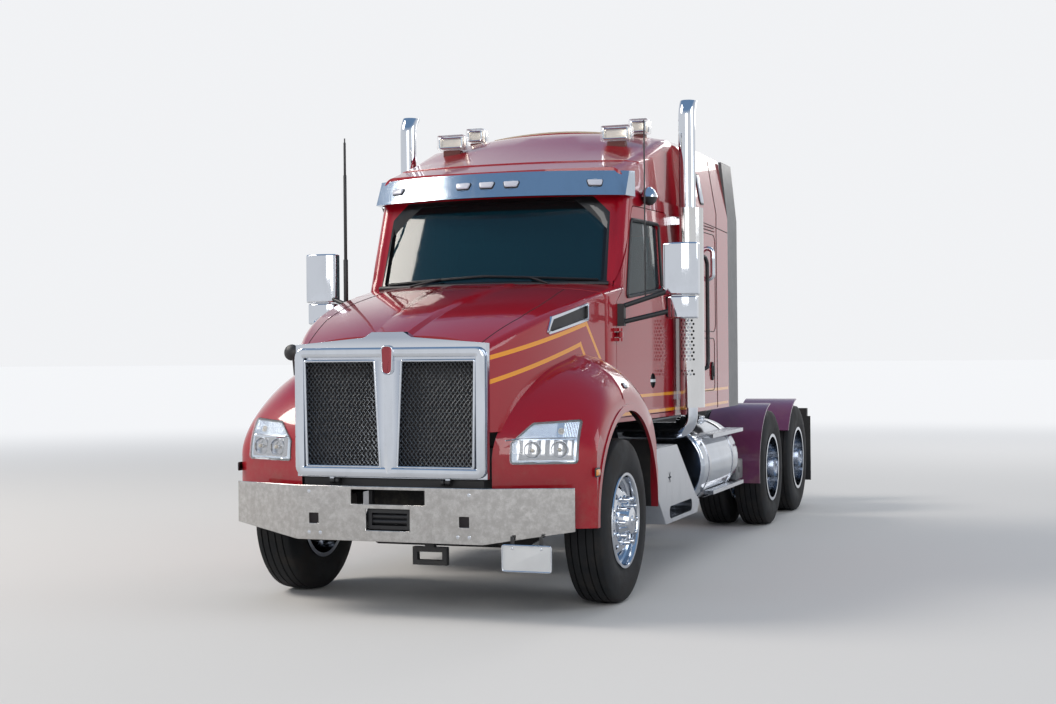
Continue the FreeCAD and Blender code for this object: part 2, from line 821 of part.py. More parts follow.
def makeFrontWheels():
    for name, side in sides:
        place = (side + " * frontTyreX", "0", "tyreRadius")
        tyre = newBody("tyre_front_" + name)
        revolveAboutX(tyre, tyreProfile("0"))
        placeNode(tyre, "tyre_front_" + name, place)
        rim = newBody("rim_front_" + name)
        face = "discOffset + discDish"
        hub = face + " + hubLength"
        centre = [(face + " - discThick", hole), (hub + " - 2 * rimWall", hole),
                  (hub + " - 2 * rimWall", "0"), (hub, "0"), (hub, "hubRadius - rimWall"),
                  (hub + " - rimWall", "hubRadius"), (face, "hubRadius")]
        revolveAboutX(rim, rimProfile("0", side, "discOffset", face, centre))
        placeNode(rim, "rim_front_" + name, place)


def makeDriveWheels():
    for axle, placeY in (("first", "firstDriveY"), ("second", "firstDriveY + tandemSpacing")):
        for name, side in sides:
            place = (side + " * outerDriveX", placeY, "tyreRadius")
            tyres = newBody("tyres_" + axle + "_" + name)
            inboard = "-1 * " + side + " * dualSpacing"
            revolveAboutX(tyres, tyreProfile("0"))
            revolveAboutX(tyres, tyreProfile(inboard))
            placeNode(tyres, "tyres_" + axle + "_" + name, place)
            rims = newBody("rims_" + axle + "_" + name)
            face = "dualSpacing / 2 - seatGap / 2"
            disc = "beadWidth / 2 - 2 * rimWall"
            back = face + " - discThick"
            hub = minus("driveHubEnd")
            outerCentre = [(back, "hubRadius"), (hub + " + rimWall", "hubRadius"),
                           (hub, "hubRadius - rimWall"), (hub, "0"), (hub + " + 2 * rimWall", "0"),
                           (hub + " + 2 * rimWall", hole), (face, hole)]
            revolveAboutX(rims, rimProfile("0", minus(side), disc, face, outerCentre))
            innerCentre = [(back, "hubRadius"), (face, "hubRadius")]
            revolveAboutX(rims, rimProfile(inboard, side, disc, face, innerCentre))
            placeNode(rims, "rims_" + axle + "_" + name, place)


makeFrontWheels()
makeDriveWheels()


# Front axle beam with its leaf springs, and the springs' shackle ends on the rails
def makeFrontAxle():
    axleZ = n.tyreRadius
    low = axleZ - n.beamDrop
    half = n.beamDepth / 2
    springLow = low + n.beamHeight / 2
    eye = n.kingpinX
    neck = eye - 5 * n.kingpinRadius
    seatX = n.springX + n.springWidth
    right = [(seatX, low - n.beamHeight / 2), (neck, axleZ - n.beamHeight / 2),
             (eye, axleZ - n.beamHeight / 2), (eye, axleZ + n.beamHeight / 2),
             (neck, axleZ + n.beamHeight / 2), (seatX, springLow)]
    outline = right + [(-x, z) for x, z in reversed(right)]
    beam = prismY(outline, -half, half)
    eyes = []
    for side in (-1, 1):
        low1 = Vector(side * (n.kingpinX), 0, axleZ - n.beamHeight / 2)
        eyes.append(tubeShape(low1, low1 + Vector(0, 0, n.beamHeight), n.kingpinRadius * 3))
    beam = beam.multiFuse(eyes)
    bores = []
    for side in (-1, 1):
        low1 = Vector(side * n.kingpinX, 0, axleZ - n.beamHeight)
        bores.append(tubeShape(low1, low1 + Vector(0, 0, 2 * n.beamHeight),
                               n.kingpinRadius + n.seatGap / 6))
    beam = beam.cut(Part.makeCompound(bores))
    shapeNode("front_axle", beam)
    springs = []
    for side in (-1, 1):
        x0 = side * n.springX - n.springWidth / 2
        x1 = side * n.springX + n.springWidth / 2
        seat = springLow + n.seatGap
        railLow = n.railTopZ - n.railHeight - n.seatGap
        top = seat + n.springThick * 2
        end = seat + n.springArch + n.springThick
        reach = n.springHalfLength
        leaf = [(-reach, end), (-half, top), (half, top), (reach, end),
                (reach, end - n.springThick), (half, seat), (-half, seat), (-reach, end - n.springThick)]
        leaves = prismX(leaf, x0, x1)
        hangers = []
        for place in (-reach, reach - n.springWidth):
            hangers.append(boxShape(x0, place, end - n.springThick / 2, x1, place + n.springWidth,
                                    railLow))
        springs.append(leaves.multiFuse(hangers))
    return springs


# Knuckle with kingpin yoke, spindle and brake drum, one for each front wheel
def makeKnuckles():
    for name, side in (("left", 1), ("right", -1)):
        axleZ = n.tyreRadius
        x = side * n.kingpinX
        gap = n.seatGap * 3
        eyeHalf = n.beamHeight / 2 + gap
        reach = n.kingpinHeight / 2
        radius = n.kingpinRadius * 2
        pin = tubeShape(Vector(x, 0, axleZ - reach), Vector(x, 0, axleZ + reach), n.kingpinRadius)
        upper = tubeShape(Vector(x, 0, axleZ + eyeHalf), Vector(x, 0, axleZ + reach), radius)
        lower = tubeShape(Vector(x, 0, axleZ - reach), Vector(x, 0, axleZ - eyeHalf), radius)
        faceX = n.kingpinX + n.kingpinRadius * 3 + gap
        near, far = sorted((x, side * (faceX + radius / 2)))
        upperArm = boxShape(near, -radius / 2, axleZ + eyeHalf, far, radius / 2, axleZ + reach)
        lowerArm = boxShape(near, -radius / 2, axleZ - reach, far, radius / 2, axleZ - eyeHalf)
        near, far = sorted((side * faceX, side * (faceX + radius / 2)))
        web = boxShape(near, -radius, axleZ - reach, far, radius, axleZ + reach)
        discX = n.frontTyreX + n.discOffset + n.discDish - n.discThick - n.seatGap
        drumFace = discX - n.drumLength / 3
        drum = tubeShape(Vector(side * (faceX + radius / 2), 0, axleZ),
                         Vector(side * drumFace, 0, axleZ), n.drumRadius)
        spindle = tubeShape(Vector(side * drumFace, 0, axleZ),
                            Vector(side * (discX + n.discThick + n.seatGap), 0, axleZ), n.spindleRadius)
        shapeNode("knuckle_" + name,
                  pin.multiFuse([upper, lower, upperArm, lowerArm, web, drum, spindle]))


# Drive axles: banjo housings with tubes and drums, then air springs and trailing arms
def makeDriveAxles():
    axles = []
    carriers = []
    for y in (n.firstDriveY, n.secondDriveY):
        z = n.tyreRadius
        hubX = n.outerDriveX - n.dualSpacing / 2
        tubeX = hubX - n.drumLength
        tube = tubeShape(Vector(-tubeX, y, z), Vector(tubeX, y, z), n.axleTubeRadius)
        bowl = tubeShape(Vector(-n.diffDepth / 2, y, z), Vector(n.diffDepth / 2, y, z), n.diffRadius)
        rims = [edge for edge in bowl.Edges if edge.Length > 2 * math.pi * n.diffRadius - 1]
        bowl = bowl.makeFillet(n.diffDepth / 4, rims)
        nose = tubeShape(Vector(0, y - n.diffRadius - n.diffDepth / 4, z),
                         Vector(0, y, z), n.diffDepth / 4)
        drums = []
        for side in (-1, 1):
            inner = side * (n.outerDriveX - n.dualSpacing - n.tyreWidth / 2 - n.cutOverrun)
            drumEnd = hubX - n.rimWall * 6
            drums.append(tubeShape(Vector(inner, y, z), Vector(side * drumEnd, y, z), n.drumRadius))
            drums.append(tubeShape(Vector(side * drumEnd, y, z), Vector(side * n.outerDriveX, y, z),
                                   n.spindleRadius))
        axles.append(tube.multiFuse([bowl, nose] + drums))
        for side in (-1, 1):
            armX = side * n.airBagX
            armZ = z - n.axleTubeRadius - n.seatGap
            arm = boxShape(armX - n.trailArmWidth / 2, y - n.tandemSpacing / 2 + n.memberDepth,
                           armZ - n.trailArmHeight, armX + n.trailArmWidth / 2,
                           y + n.airBagRadius * 3, armZ)
            hangerX = side * (n.frameWidth / 2 - n.railFlange / 2)
            bagY = y + n.airBagRadius * 2
            bag = tubeShape(Vector(armX, bagY, armZ),
                            Vector(armX, bagY, n.railTopZ - n.railHeight - n.seatGap), n.airBagRadius)
            arm0 = y - n.tandemSpacing / 2 + n.memberDepth
            hanger = boxShape(hangerX - n.railFlange / 2, arm0, armZ - n.trailArmHeight,
                              hangerX + n.railFlange / 2, arm0 + n.trailArmWidth,
                              n.railTopZ - n.railHeight - n.seatGap)
            carriers.append(arm.multiFuse([bag, hanger]))
    shapeNode("drive_axles", Part.makeCompound(axles))
    return carriers


# Drive shaft from the engine block to the first axle's nose, and between the axles
def makeDriveShaft():
    start = Vector(0, n.engineFrontY + n.engineLength + n.seatGap, n.engineBottomZ + n.shaftRadius * 1.1)
    noseY = n.firstDriveY - n.diffRadius - n.diffDepth / 4 - n.seatGap
    end = Vector(0, noseY, n.tyreRadius)
    front = tubeShape(start, end, n.shaftRadius)
    front = front.cut(boxShape(-n.diffRadius, noseY, 0, n.diffRadius, n.secondDriveY, n.railTopZ))
    front = front.cut(boxShape(-n.diffRadius, n.engineFrontY, 0, n.diffRadius, start.y, n.railTopZ))
    link0 = Vector(0, n.firstDriveY + n.diffRadius + n.seatGap, n.tyreRadius)
    noseY = n.secondDriveY - n.diffRadius - n.diffDepth / 4 - n.seatGap
    link1 = Vector(0, noseY, n.tyreRadius)
    shapeNode("drive_shaft", Part.makeCompound([front, tubeShape(link0, link1, n.shaftRadius)]))


springShapes = makeFrontAxle()
makeKnuckles()
carrierShapes = makeDriveAxles()
shapeNode("suspension", Part.makeCompound(springShapes + carrierShapes))
makeDriveShaft()


# Hood and front fenders
def hoodSection(y, halfWidth, shoulderZ, crownZ, ridge, inset, bottomZ):
    # Cross-section of the hood, closed along its bottom; ridge is the raised centre's half and rise
    w = halfWidth - inset
    r = n.hoodShoulderRound
    top = crownZ - inset
    edge = shoulderZ - inset
    crease = Vector(ridge[0], y, top - ridge[1] * ridgeEdgeShare)
    foot = Vector(ridge[0] + n.ridgeSlope, y, top - ridge[1])
    low = [Vector(-w, y, bottomZ), Vector(w, y, bottomZ)]
    side = [Vector(w, y, edge - r), Vector(w - r, y, edge)]
    tuck = r * (1 - math.sqrt(0.5))
    knee = Vector(w - tuck, y, edge - tuck)
    flip = [Vector(-p.x, p.y, p.z) for p in side]
    kneeFlip = Vector(-knee.x, y, knee.z)
    swell = (foot.z - edge) * plateauShare
    bulge = Vector((side[1].x + foot.x) / 2, y, (edge + foot.z) / 2 + swell)
    flipped = lambda p: Vector(-p.x, p.y, p.z)
    return Part.Wire([line(low[0], low[1]), line(low[1], side[0]), arc(side[0], knee, side[1]),
                      arc(side[1], bulge, foot), line(foot, crease),
                      arc(crease, Vector(0, y, top), flipped(crease)), line(flipped(crease), flipped(foot)),
                      arc(flipped(foot), flipped(bulge), flip[1]), arc(flip[1], kneeFlip, flip[0]),
                      line(flip[0], low[0])])


ridgeEdgeShare = 0.2
plateauShare = 0.28


def hoodBlock(inset, frontY, rearY, bottomZ):
    # Solid under the hood's skin moved in by inset, from frontY to rearY
    span = n.hoodRearY - n.hoodFrontY
    middle = n.hoodFrontY + span * hoodMiddleShare
    stations = [(n.hoodFrontY, n.hoodFrontHalf, n.hoodFrontShoulderZ, n.hoodFrontCrownZ),
                (middle, n.hoodMidHalf, n.hoodMidShoulderZ, n.hoodMidCrownZ),
                (n.hoodRearY, n.hoodRearHalf, n.hoodRearShoulderZ, n.hoodRearCrownZ)]
    last = stations[-1]
    slopes = [(last[i] - stations[-2][i]) / (last[0] - stations[-2][0]) for i in (1, 2, 3)]
    reach = n.cabWall * 9
    stations.append((last[0] + reach,) + tuple(last[i + 1] + slopes[i] * reach * cowlEaseShare
                                               for i in range(3)))
    wires = []
    for y, half, shoulder, crown in stations:
        share = (y - n.hoodFrontY) / span
        ridge = (blend(n.ridgeFrontHalf, n.ridgeRearHalf, share),
                 blend(n.ridgeFrontRise, n.ridgeRearRise, share))
        wires.append(hoodSection(y, half, shoulder, crown, ridge, inset, bottomZ))
    block = Part.makeLoft(wires, True, False)
    wide = 2 * n.fenderOuterX
    return block.common(boxShape(-wide, frontY, bottomZ - 1 * n.cutOverrun, wide, rearY, n.stackTopZ))


hoodMiddleShare = 0.47
cowlEaseShare = 0.75
fenderShares = [(0.0, 0.0, 1.0, 0.0), (0.25, 0.25, 1.0, 0.0), (0.56, 0.53, 0.91, 0.06),
                (0.83, 0.78, 0.55, 0.2), (0.96, 0.92, 0.2, 0.5), (1.0, 1.0, 0.0, 1.0)]


def fenderSection(x, frontY, crownZ, rearY, inset, bottomZ):
    # Side outline of a fender at one X: front wall, two quarter ellipses and rear wall
    f = frontY + inset
    r = rearY - inset
    top = crownZ - inset
    frontRise = n.fenderFrontZ
    rearRise = n.archZ + n.archRadius / 2
    c = n.fenderCrownY
    corner = math.sqrt(0.5)
    frontMid = Vector(x, c - (c - f) * corner, frontRise + (top - frontRise) * corner)
    rearMid = Vector(x, c + (r - c) * corner, rearRise + (top - rearRise) * corner)
    return Part.Wire([line(Vector(x, r, bottomZ), Vector(x, f, bottomZ)),
                      line(Vector(x, f, bottomZ), Vector(x, f, frontRise)),
                      quarter(x, c, frontRise, f - c, top - frontRise, True),
                      quarter(x, c, rearRise, r - c, top - rearRise, False),
                      line(Vector(x, r, rearRise), Vector(x, r, bottomZ))])


def quarter(x, centreY, centreZ, acrossY, upZ, rising):
    # Quarter ellipse in a plane of constant X, as a smooth spline
    count = 7
    points = []
    for index in range(count):
        angle = math.pi / 2 * index / (count - 1)
        points.append(Vector(x, centreY + acrossY * math.cos(angle), centreZ + upZ * math.sin(angle)))
    if not rising:
        points.reverse()
    curve = Part.BSplineCurve()
    first = Vector(0, 0, 1) if rising else Vector(0, 1, 0)
    final = Vector(0, 1, 0) if rising else Vector(0, 0, -1)
    curve.interpolate(points, InitialTangent=first, FinalTangent=final)
    return curve.toShape()


def fenderBlock(inset, bottomZ, innerX):
    # Solid under one front fender's skin moved in by inset
    wires = []
    for across, back, high, drop in fenderShares:
        x = blend(n.fenderInnerX, n.fenderOuterX - inset, across)
        frontY = blend(n.fenderFrontInnerY, n.fenderFrontOuterY, back)
        crownZ = blend(n.fenderLipZ, n.fenderCrownZ, high)
        rearY = n.fenderRearY - drop * n.hoodWall
        wires.append(fenderSection(x, frontY, crownZ, rearY, inset, bottomZ))
    block = Part.makeLoft(wires, True, False)
    if innerX < n.fenderInnerX:
        reach = [w.copy() for w in wires[:1]]
        face = Part.Face(reach[0])
        block = block.fuse(face.extrude(Vector(innerX - n.fenderInnerX, 0, 0)))
    return block


def archLip():
    # Band that stands a little proud of the fender's side round the wheel arch
    x0 = n.fenderOuterX - n.tyreWidth / 2
    x1 = n.fenderOuterX + n.cutOverrun
    radius = n.archRadius + n.archLipWidth
    band = tubeShape(Vector(x0, n.archY, n.archZ), Vector(x1, n.archY, n.archZ), radius)
    band = band.fuse(boxShape(x0, n.archY - radius, n.fenderValanceZ, x1, n.archY + radius, n.archZ))
    return band.common(fenderBlock(-n.archLipProud, n.fenderValanceZ, n.fenderInnerX))


def makeHood():
    wall = n.hoodWall
    outer = hoodBlock(0, n.hoodFrontY, n.hoodRearY, n.hoodSideBottomZ)
    fender = fenderBlock(0, n.fenderValanceZ, n.fenderInnerX)
    # The fender's rear part keeps clear of the door, its hinges and the path of its front edge
    keep = n.doorHingeX + 2 * n.doorEyeRadius
    far = n.fenderRearY + n.cutOverrun
    wide = n.fenderOuterX + n.cutOverrun
    fender = fender.fuse(archLip())
    fender = fender.cut(boxShape(0, n.hoodRearY, 0, keep, far, n.hoodRearCrownZ))
    path = math.tan(math.radians(90 - n.doorSwing))
    sweep = [(keep, n.doorFrontY + path * (keep - n.doorHingeX) - n.runGap), (keep, far), (wide, far),
             (wide, n.doorFrontY + path * (wide - n.doorHingeX) - n.runGap)]
    fender = fender.cut(prismZ(sweep, n.doorSweepZ, n.hoodRearCrownZ))
    inner = hoodBlock(wall, n.hoodFrontY - n.cutOverrun, n.hoodRearY + n.cutOverrun, 0)
    hollow = fenderBlock(wall, 0, n.frameWidth / 2)
    arch = tubeShape(Vector(n.fenderOuterX - n.tyreWidth / 2, n.archY, n.archZ),
                     Vector(n.fenderOuterX + n.cutOverrun, n.archY, n.archZ), n.archRadius)
    legs = boxShape(n.fenderOuterX - n.tyreWidth / 2, n.archY - n.archRadius, 0,
                    n.fenderOuterX + n.cutOverrun, n.archY + n.archRadius, n.archZ)
    solid = outer.multiFuse([fender, fender.mirror(origin, plusX)])
    tools = [inner]
    for tool in (hollow, arch, legs):
        tools += [tool, tool.mirror(origin, plusX)]
    return solid.cut(tools)


# Chrome grille surround: frame of the two panels with a raised centre bar
def grilleFace(y, grow):
    # Closed outline of the surround's face with its peak over the centre bar
    top = n.grilleTopZ + grow
    peak = n.grillePeakZ + grow
    low = n.grilleBottomZ
    half = n.grilleHalfTop
    foot = n.grilleHalfBottom
    bump = n.ridgeFrontHalf
    shoulder = blend(top, peak, ridgeShoulderShare)
    corners = [(-foot, low), (foot, low), (half, top), (bump * 1.5, shoulder), (bump, peak),
               (-bump, peak), (-bump * 1.5, shoulder), (-half, top)]
    points = [Vector(x, y, z) for x, z in corners]
    return Part.makePolygon(points + points[:1])


ridgeShoulderShare = 0.55
badgeRoundShare = 0.8


def panelOutline(y, side, grow):
    # Rounded opening of one mesh panel, grown outwards by grow
    corners = [(n.panelInnerBottom - grow, n.panelBottomZ - grow),
               (n.panelOuterBottom + grow, n.panelBottomZ - grow),
               (n.panelOuterTop + grow, n.panelTopZ + grow),
               (n.panelInnerTop - grow, n.panelTopZ + grow)]
    return roundedWire([Vector(side * x, y, z) for x, z in corners], n.panelRound)


def roundedWire(corners, radius):
    # Closed wire through flat corners with each corner rounded
    edges = []
    count = len(corners)
    starts = []
    ends = []
    for index in range(count):
        corner = corners[index]
        back = (corners[index - 1] - corner).normalize()
        ahead = (corners[(index + 1) % count] - corner).normalize()
        half = back.getAngle(ahead) / 2
        run = radius / math.tan(half)
        middle = (back + ahead).normalize()
        centre = corner + middle * (radius / math.sin(half))
        starts.append((corner + back * run, centre - middle * radius, corner + ahead * run))
    for index in range(count):
        enter, mid, leave = starts[index]
        edges.append(arc(enter, mid, leave))
        edges.append(line(leave, starts[(index + 1) % count][0]))
    return Part.Wire(edges)


def makeGrille():
    front = n.grilleFrontY
    body = Part.Face(grilleFace(front, 0)).extrude(Vector(0, n.grilleDepth, 0))
    tools = []
    for side in (-1, 1):
        hole = Part.Face(panelOutline(front - n.cutOverrun, side, 0))
        tools.append(hole.extrude(Vector(0, n.grilleDepth + 2 * n.cutOverrun, 0)))
    body = body.cut(tools)
    # The face leans back from the centre to the corners
    corner = n.grilleFrontY + n.grilleDepth / 2
    for side in (-1, 1):
        wedge = [(0, front - n.cutOverrun), (side * n.ridgeFrontHalf, front),
                 (side * 2 * n.grilleHalfTop, blend(front, corner, 2)),
                 (side * 2 * n.grilleHalfTop, front - n.cutOverrun)]
        body = body.cut(prismZ(wedge, 0, n.stackTopZ))
    pad = [Vector(-n.badgeHalf, front - n.badgeProud, n.badgeBottomZ),
           Vector(n.badgeHalf, front - n.badgeProud, n.badgeBottomZ),
           Vector(n.badgeHalf, front - n.badgeProud, n.badgeTopZ),
           Vector(-n.badgeHalf, front - n.badgeProud, n.badgeTopZ)]
    plate = Part.Face(roundedWire(pad, n.badgeHalf * badgeRoundShare))
    body = body.fuse(plate.extrude(Vector(0, n.badgeProud + n.grilleDepth / 4, 0)))
    # Eyes under the frame that turn on the hinge pins
    eyes = []
    bores = []
    radius = n.hingeEyeRadius
    for side in (-1, 1):
        start = side * (n.hingeX + 2 * n.runGap)
        near, far = sorted((start, side * (n.hingeX + n.hingeLength)))
        centre = Vector(near, n.hoodPivotY, n.hoodPivotZ)
        eyes.append(Part.makeCylinder(radius, far - near, centre, plusX))
        eyes.append(boxShape(near, n.hoodPivotY - radius * 0.8, n.hoodPivotZ, far,
                             n.hoodPivotY + radius * 0.8, n.grilleBottomZ + radius))
        bores.append(Part.makeCylinder(n.hingePinRadius + n.seatGap, 2 * n.hingeLength,
                                       centre - Vector(n.hingeLength / 2, 0, 0), plusX))
    shapeNode("grille_surround", body.multiFuse(eyes).cut(bores))


def makeMesh():
    # Diamond wire mesh: one flat face with a field of diamond holes, made solid at once
    panels = []
    y = n.grilleFrontY + n.meshSet + n.grilleDepth / 4
    grow = -n.seatGap
    step = n.meshPitch
    hole = (step - n.meshWire * math.sqrt(2)) / 2
    left = n.panelInnerBottom
    columns = int((n.panelOuterTop - left) / step) + 2
    rows = int((n.panelTopZ - n.panelBottomZ) / (step / 2)) + 2
    rim = n.meshWire

    def inside(x, z):
        share = (z - n.panelBottomZ) / (n.panelTopZ - n.panelBottomZ)
        low = blend(n.panelInnerBottom, n.panelInnerTop, share)
        high = blend(n.panelOuterBottom, n.panelOuterTop, share)
        margin = hole + rim
        return (low + margin < x < high - margin
                and n.panelBottomZ + margin < z < n.panelTopZ - margin)

    for side in (-1, 1):
        outline = panelOutline(y, side, grow)
        holes = []
        for row in range(rows):
            for column in range(columns):
                x = left + (column + 0.5 * (row % 2)) * step
                z = n.panelBottomZ + row * step / 2
                if inside(x, z):
                    corners = [Vector(side * (x - hole), y, z), Vector(side * x, y, z - hole),
                               Vector(side * (x + hole), y, z), Vector(side * x, y, z + hole)]
                    holes.append(Part.makePolygon(corners + corners[:1]))
        face = Part.Face([outline] + holes)
        face.validate()
        panels.append(face.extrude(Vector(0, n.meshThick, 0)))
    shapeNode("grille_mesh", Part.makeCompound(panels))


# Headlights: housings that fill the pockets in the fender fronts
def makeHeadlights(hood):
    outline = [(n.lampInnerX, n.lampBottomZ), (n.lampOuterX, n.lampBottomZ),
               (n.lampOuterX, n.lampOuterTopZ),
               (blend(n.lampInnerX, n.lampOuterX, 0.3), blend(n.lampInnerTopZ, n.lampOuterTopZ, 0.75)),
               (n.lampInnerX, n.lampInnerTopZ - n.lampDepth)]
    corners = [Vector(x, n.fenderFrontInnerY - n.cutOverrun, z) for x, z in outline]
    wire = roundedWire(corners, n.panelRound)
    column = Part.Face(wire).extrude(Vector(0, -n.fenderFrontInnerY, 0))
    skin = fenderBlock(-n.lampProud, n.fenderValanceZ, n.fenderInnerX)
    core = fenderBlock(n.lampDepth, 0, n.frameWidth / 2)
    lens = column.common(skin).cut(core)
    hood = hood.cut([column, column.mirror(origin, plusX)])
    gap = n.seatGap
    small = Part.Face(roundedWire([Vector(c.x, c.y, c.z) for c in insetCorners(corners, gap)],
                                  n.panelRound)).extrude(Vector(0, -n.fenderFrontInnerY, 0))
    lens = lens.common(small)
    shapeNode("headlights", bothSides(lens))
    return hood


def insetCorners(corners, gap):
    # Moves flat corners in the XZ plane towards their middle by about gap
    middle = Vector(sum(c.x for c in corners) / len(corners), corners[0].y,
                    sum(c.z for c in corners) / len(corners))
    return [c + (middle - c).normalize() * (gap * 2) for c in corners]


# Side vents near the hood's rear shoulders
def ventOutline(x, grow):
    corners = [Vector(x, n.ventFrontY - grow, n.ventFrontZ - grow),
               Vector(x, n.ventRearY + grow, n.ventRearZ - grow),
               Vector(x, n.ventRearY + grow, n.ventRearZ + n.ventHeight + grow),
               Vector(x, n.ventFrontY + n.ventHeight / 2 - grow,
                      n.ventFrontZ + n.ventHeight + grow)]
    return roundedWire(corners, n.ventFrame)


def makeVents(hood):
    reach = n.fenderOuterX
    block = Part.Face(ventOutline(n.hoodMidHalf / 2, 0)).extrude(Vector(reach, 0, 0))
    hollow = Part.Face(ventOutline(n.hoodMidHalf / 2, -n.ventFrame)).extrude(Vector(reach, 0, 0))
    span = (n.hoodFrontY, n.hoodRearY, n.hoodSideBottomZ)
    outside = hoodBlock(-n.ventDepth / 2, *span)
    inside = hoodBlock(n.hoodWall, *span)
    floor = hoodBlock(n.hoodWall / 2, *span)
    ring = block.cut(hollow).common(outside).cut(inside)
    plate = hollow.common(floor).cut(inside)
    vent = ring.fuse(plate)
    shapeNode("hood_vents", bothSides(vent))
    return hood.cut([block, block.mirror(origin, plusX)])


hoodShape = makeHood()
makeGrille()
makeMesh()
hoodShape = makeHeadlights(hoodShape)
hoodShape = makeVents(hoodShape)
shapeNode("hood", hoodShape)


# Cab: an upright box to the belt with the greenhouse on top of it
def cabPlan(z, frontY, frontHalf, rearHalf, wrap, corner, inset):
    # Plan outline of the cab at one height, curved across the front
    f = frontY + inset
    r = n.cabRearY
    fh = frontHalf - inset
    rh = rearHalf - inset
    sideY = f + wrap + corner * cornerDepthShare
    frontEdge = Vector(fh - corner, f + wrap, z)
    sideEdge = Vector(fh, sideY, z)
    tuck = corner * (1 - math.sqrt(0.5))
    knee = Vector(fh - tuck, f + wrap + tuck * cornerDepthShare, z)
    flip = lambda p: Vector(-p.x, p.y, p.z)
    rear = Vector(rh, r, z)
    bow = Vector((fh + rh) / 2 + n.cabWall / 5, (sideY + r) / 2, z)
    return Part.Wire([arc(frontEdge, knee, sideEdge), arc(sideEdge, bow, rear), line(rear, flip(rear)),
                      arc(flip(rear), flip(bow), flip(sideEdge)),
                      arc(flip(sideEdge), flip(knee), flip(frontEdge)),
                      arc(flip(frontEdge), Vector(0, f, z), frontEdge)])


def cabBlock(inset, topInset):
    # Solids inside the cab's skin moved in by inset: lower box, greenhouse
    wrap = n.screenWrap
    lean = (n.screenTopY - n.screenBaseY) / (n.cabTopZ - n.screenBottomZ)
    lower = []
    for z in (n.cabBottomZ + topInset, n.cowlTopZ + n.cabWall * 6):
        lower.append(cabPlan(z, n.cabFrontY, n.cabFrontHalf, n.cabRearHalf, wrap * cowlWrapShare,
                             n.cabWall * 1.5, inset))
    baseZ = n.cowlTopZ - n.cabWall
    baseY = n.screenBaseY - lean * (n.screenBottomZ - baseZ)
    upper = [cabPlan(baseZ, baseY, n.cabFrontHalf + n.cabWall * 0.55, n.cabRearHalf, wrap,
                     n.cabCorner, inset),
             cabPlan(n.cabTopZ - topInset, n.screenTopY - lean * topInset, n.cabTopFrontHalf,
                     n.cabTopRearHalf, wrap, n.cabCorner, inset)]
    return Part.makeLoft(lower, True, True), Part.makeLoft(upper, True, True)


def cabSolid(inset, topInset, frontY):
    # The cab's whole inside or outside; its cowl carries on the hood's line to the windscreen
    low, high = cabBlock(inset, topInset)
    wide = 2 * n.cabRearHalf
    splitY = n.screenBaseY + n.screenWrap
    cowl = hoodBlock(inset, frontY, splitY, n.cabBottomZ + topInset)
    front = low.common(cowl)
    rear = low.common(boxShape(-wide, splitY, 0, wide, n.cabRearY + wide, n.cowlTopZ - inset / 2))
    return high.multiFuse([front, rear])


cowlWrapShare = 0.06
cornerDepthShare = 0.5


def doorPrism(gap, x0, x1):
    # Door opening as an outline of (y, z), less a running gap
    outline = [(n.doorFrontY + gap, n.doorSillZ + gap), (n.doorRearY - gap, n.doorSillZ + gap),
               (n.doorRearY - gap, n.doorBeltZ), (n.doorRearTopY - gap, n.doorTopZ - gap),
               (n.doorFrontTopY + gap, n.doorTopZ - gap),
               (n.doorKneeY + gap, n.doorBeltZ + 2 * n.cabWall - gap), (n.doorFrontY + gap, n.doorBeltZ)]
    corners = [Vector(x0, y, z) for y, z in outline]
    return Part.Face(roundedWire(corners, n.cabWall)).extrude(Vector(x1 - x0, 0, 0))


def windowPrism(gap, x0, x1):
    outline = [(n.windowFrontY + gap, n.windowBeltFrontZ + gap),
               (n.windowRearY - gap, n.windowBeltRearZ + gap),
               (n.windowRearY - gap, n.windowTopZ - gap),
               (n.windowFrontTopY + gap, n.windowTopZ - gap)]
    corners = [Vector(x0, y, z) for y, z in outline]
    return Part.Face(roundedWire(corners, n.cabWall * 0.8)).extrude(Vector(x1 - x0, 0, 0))


def screenPrism(gap, y0, y1):
    low = n.screenHalfBottom - n.cabWall - gap
    high = n.screenHalfTop - n.cabWall - gap
    corners = [Vector(-low, y0, n.screenSillZ + gap), Vector(low, y0, n.screenSillZ + gap),
               Vector(high, y0, n.screenTopZ - gap), Vector(-high, y0, n.screenTopZ - gap)]
    return Part.Face(roundedWire(corners, n.cabWall)).extrude(Vector(0, y1 - y0, 0))


def doorHinges():
    # Eyes and pins of the left door's two hinges, and the bores in the door's eyes
    fixedEyes = []
    doorEyes = []
    pins = ([], [])
    x = n.doorHingeX
    y = n.doorFrontY + n.runGap
    radius = n.doorEyeRadius
    half = n.doorHingeHalf
    inner = x - n.cabWall
    for z in (n.doorHingeLowZ, n.doorHingeHighZ):
        for z0 in (z - half, z + half / 2):
            fixedEyes.append(Part.makeCylinder(radius, half / 2, Vector(x, y, z0), plusZ))
            fixedEyes.append(boxShape(inner, y - 3 * radius, z0, x + radius / 2, y - radius * 0.7,
                                      z0 + half / 2))
        z0 = z - half / 2 + n.runGap
        z1 = z + half / 2 - n.runGap
        doorEyes.append(Part.makeCylinder(radius, z1 - z0, Vector(x, y, z0), plusZ))
        doorEyes.append(boxShape(inner, y + radius * 0.7, z0, x + radius / 2, y + 3 * radius, z1))
        for group, grow in zip(pins, (0, n.seatGap)):
            group.append(Part.makeCylinder(n.doorPinRadius + grow, 2 * half, Vector(x, y, z - half), plusZ))
    return fixedEyes, doorEyes, pins


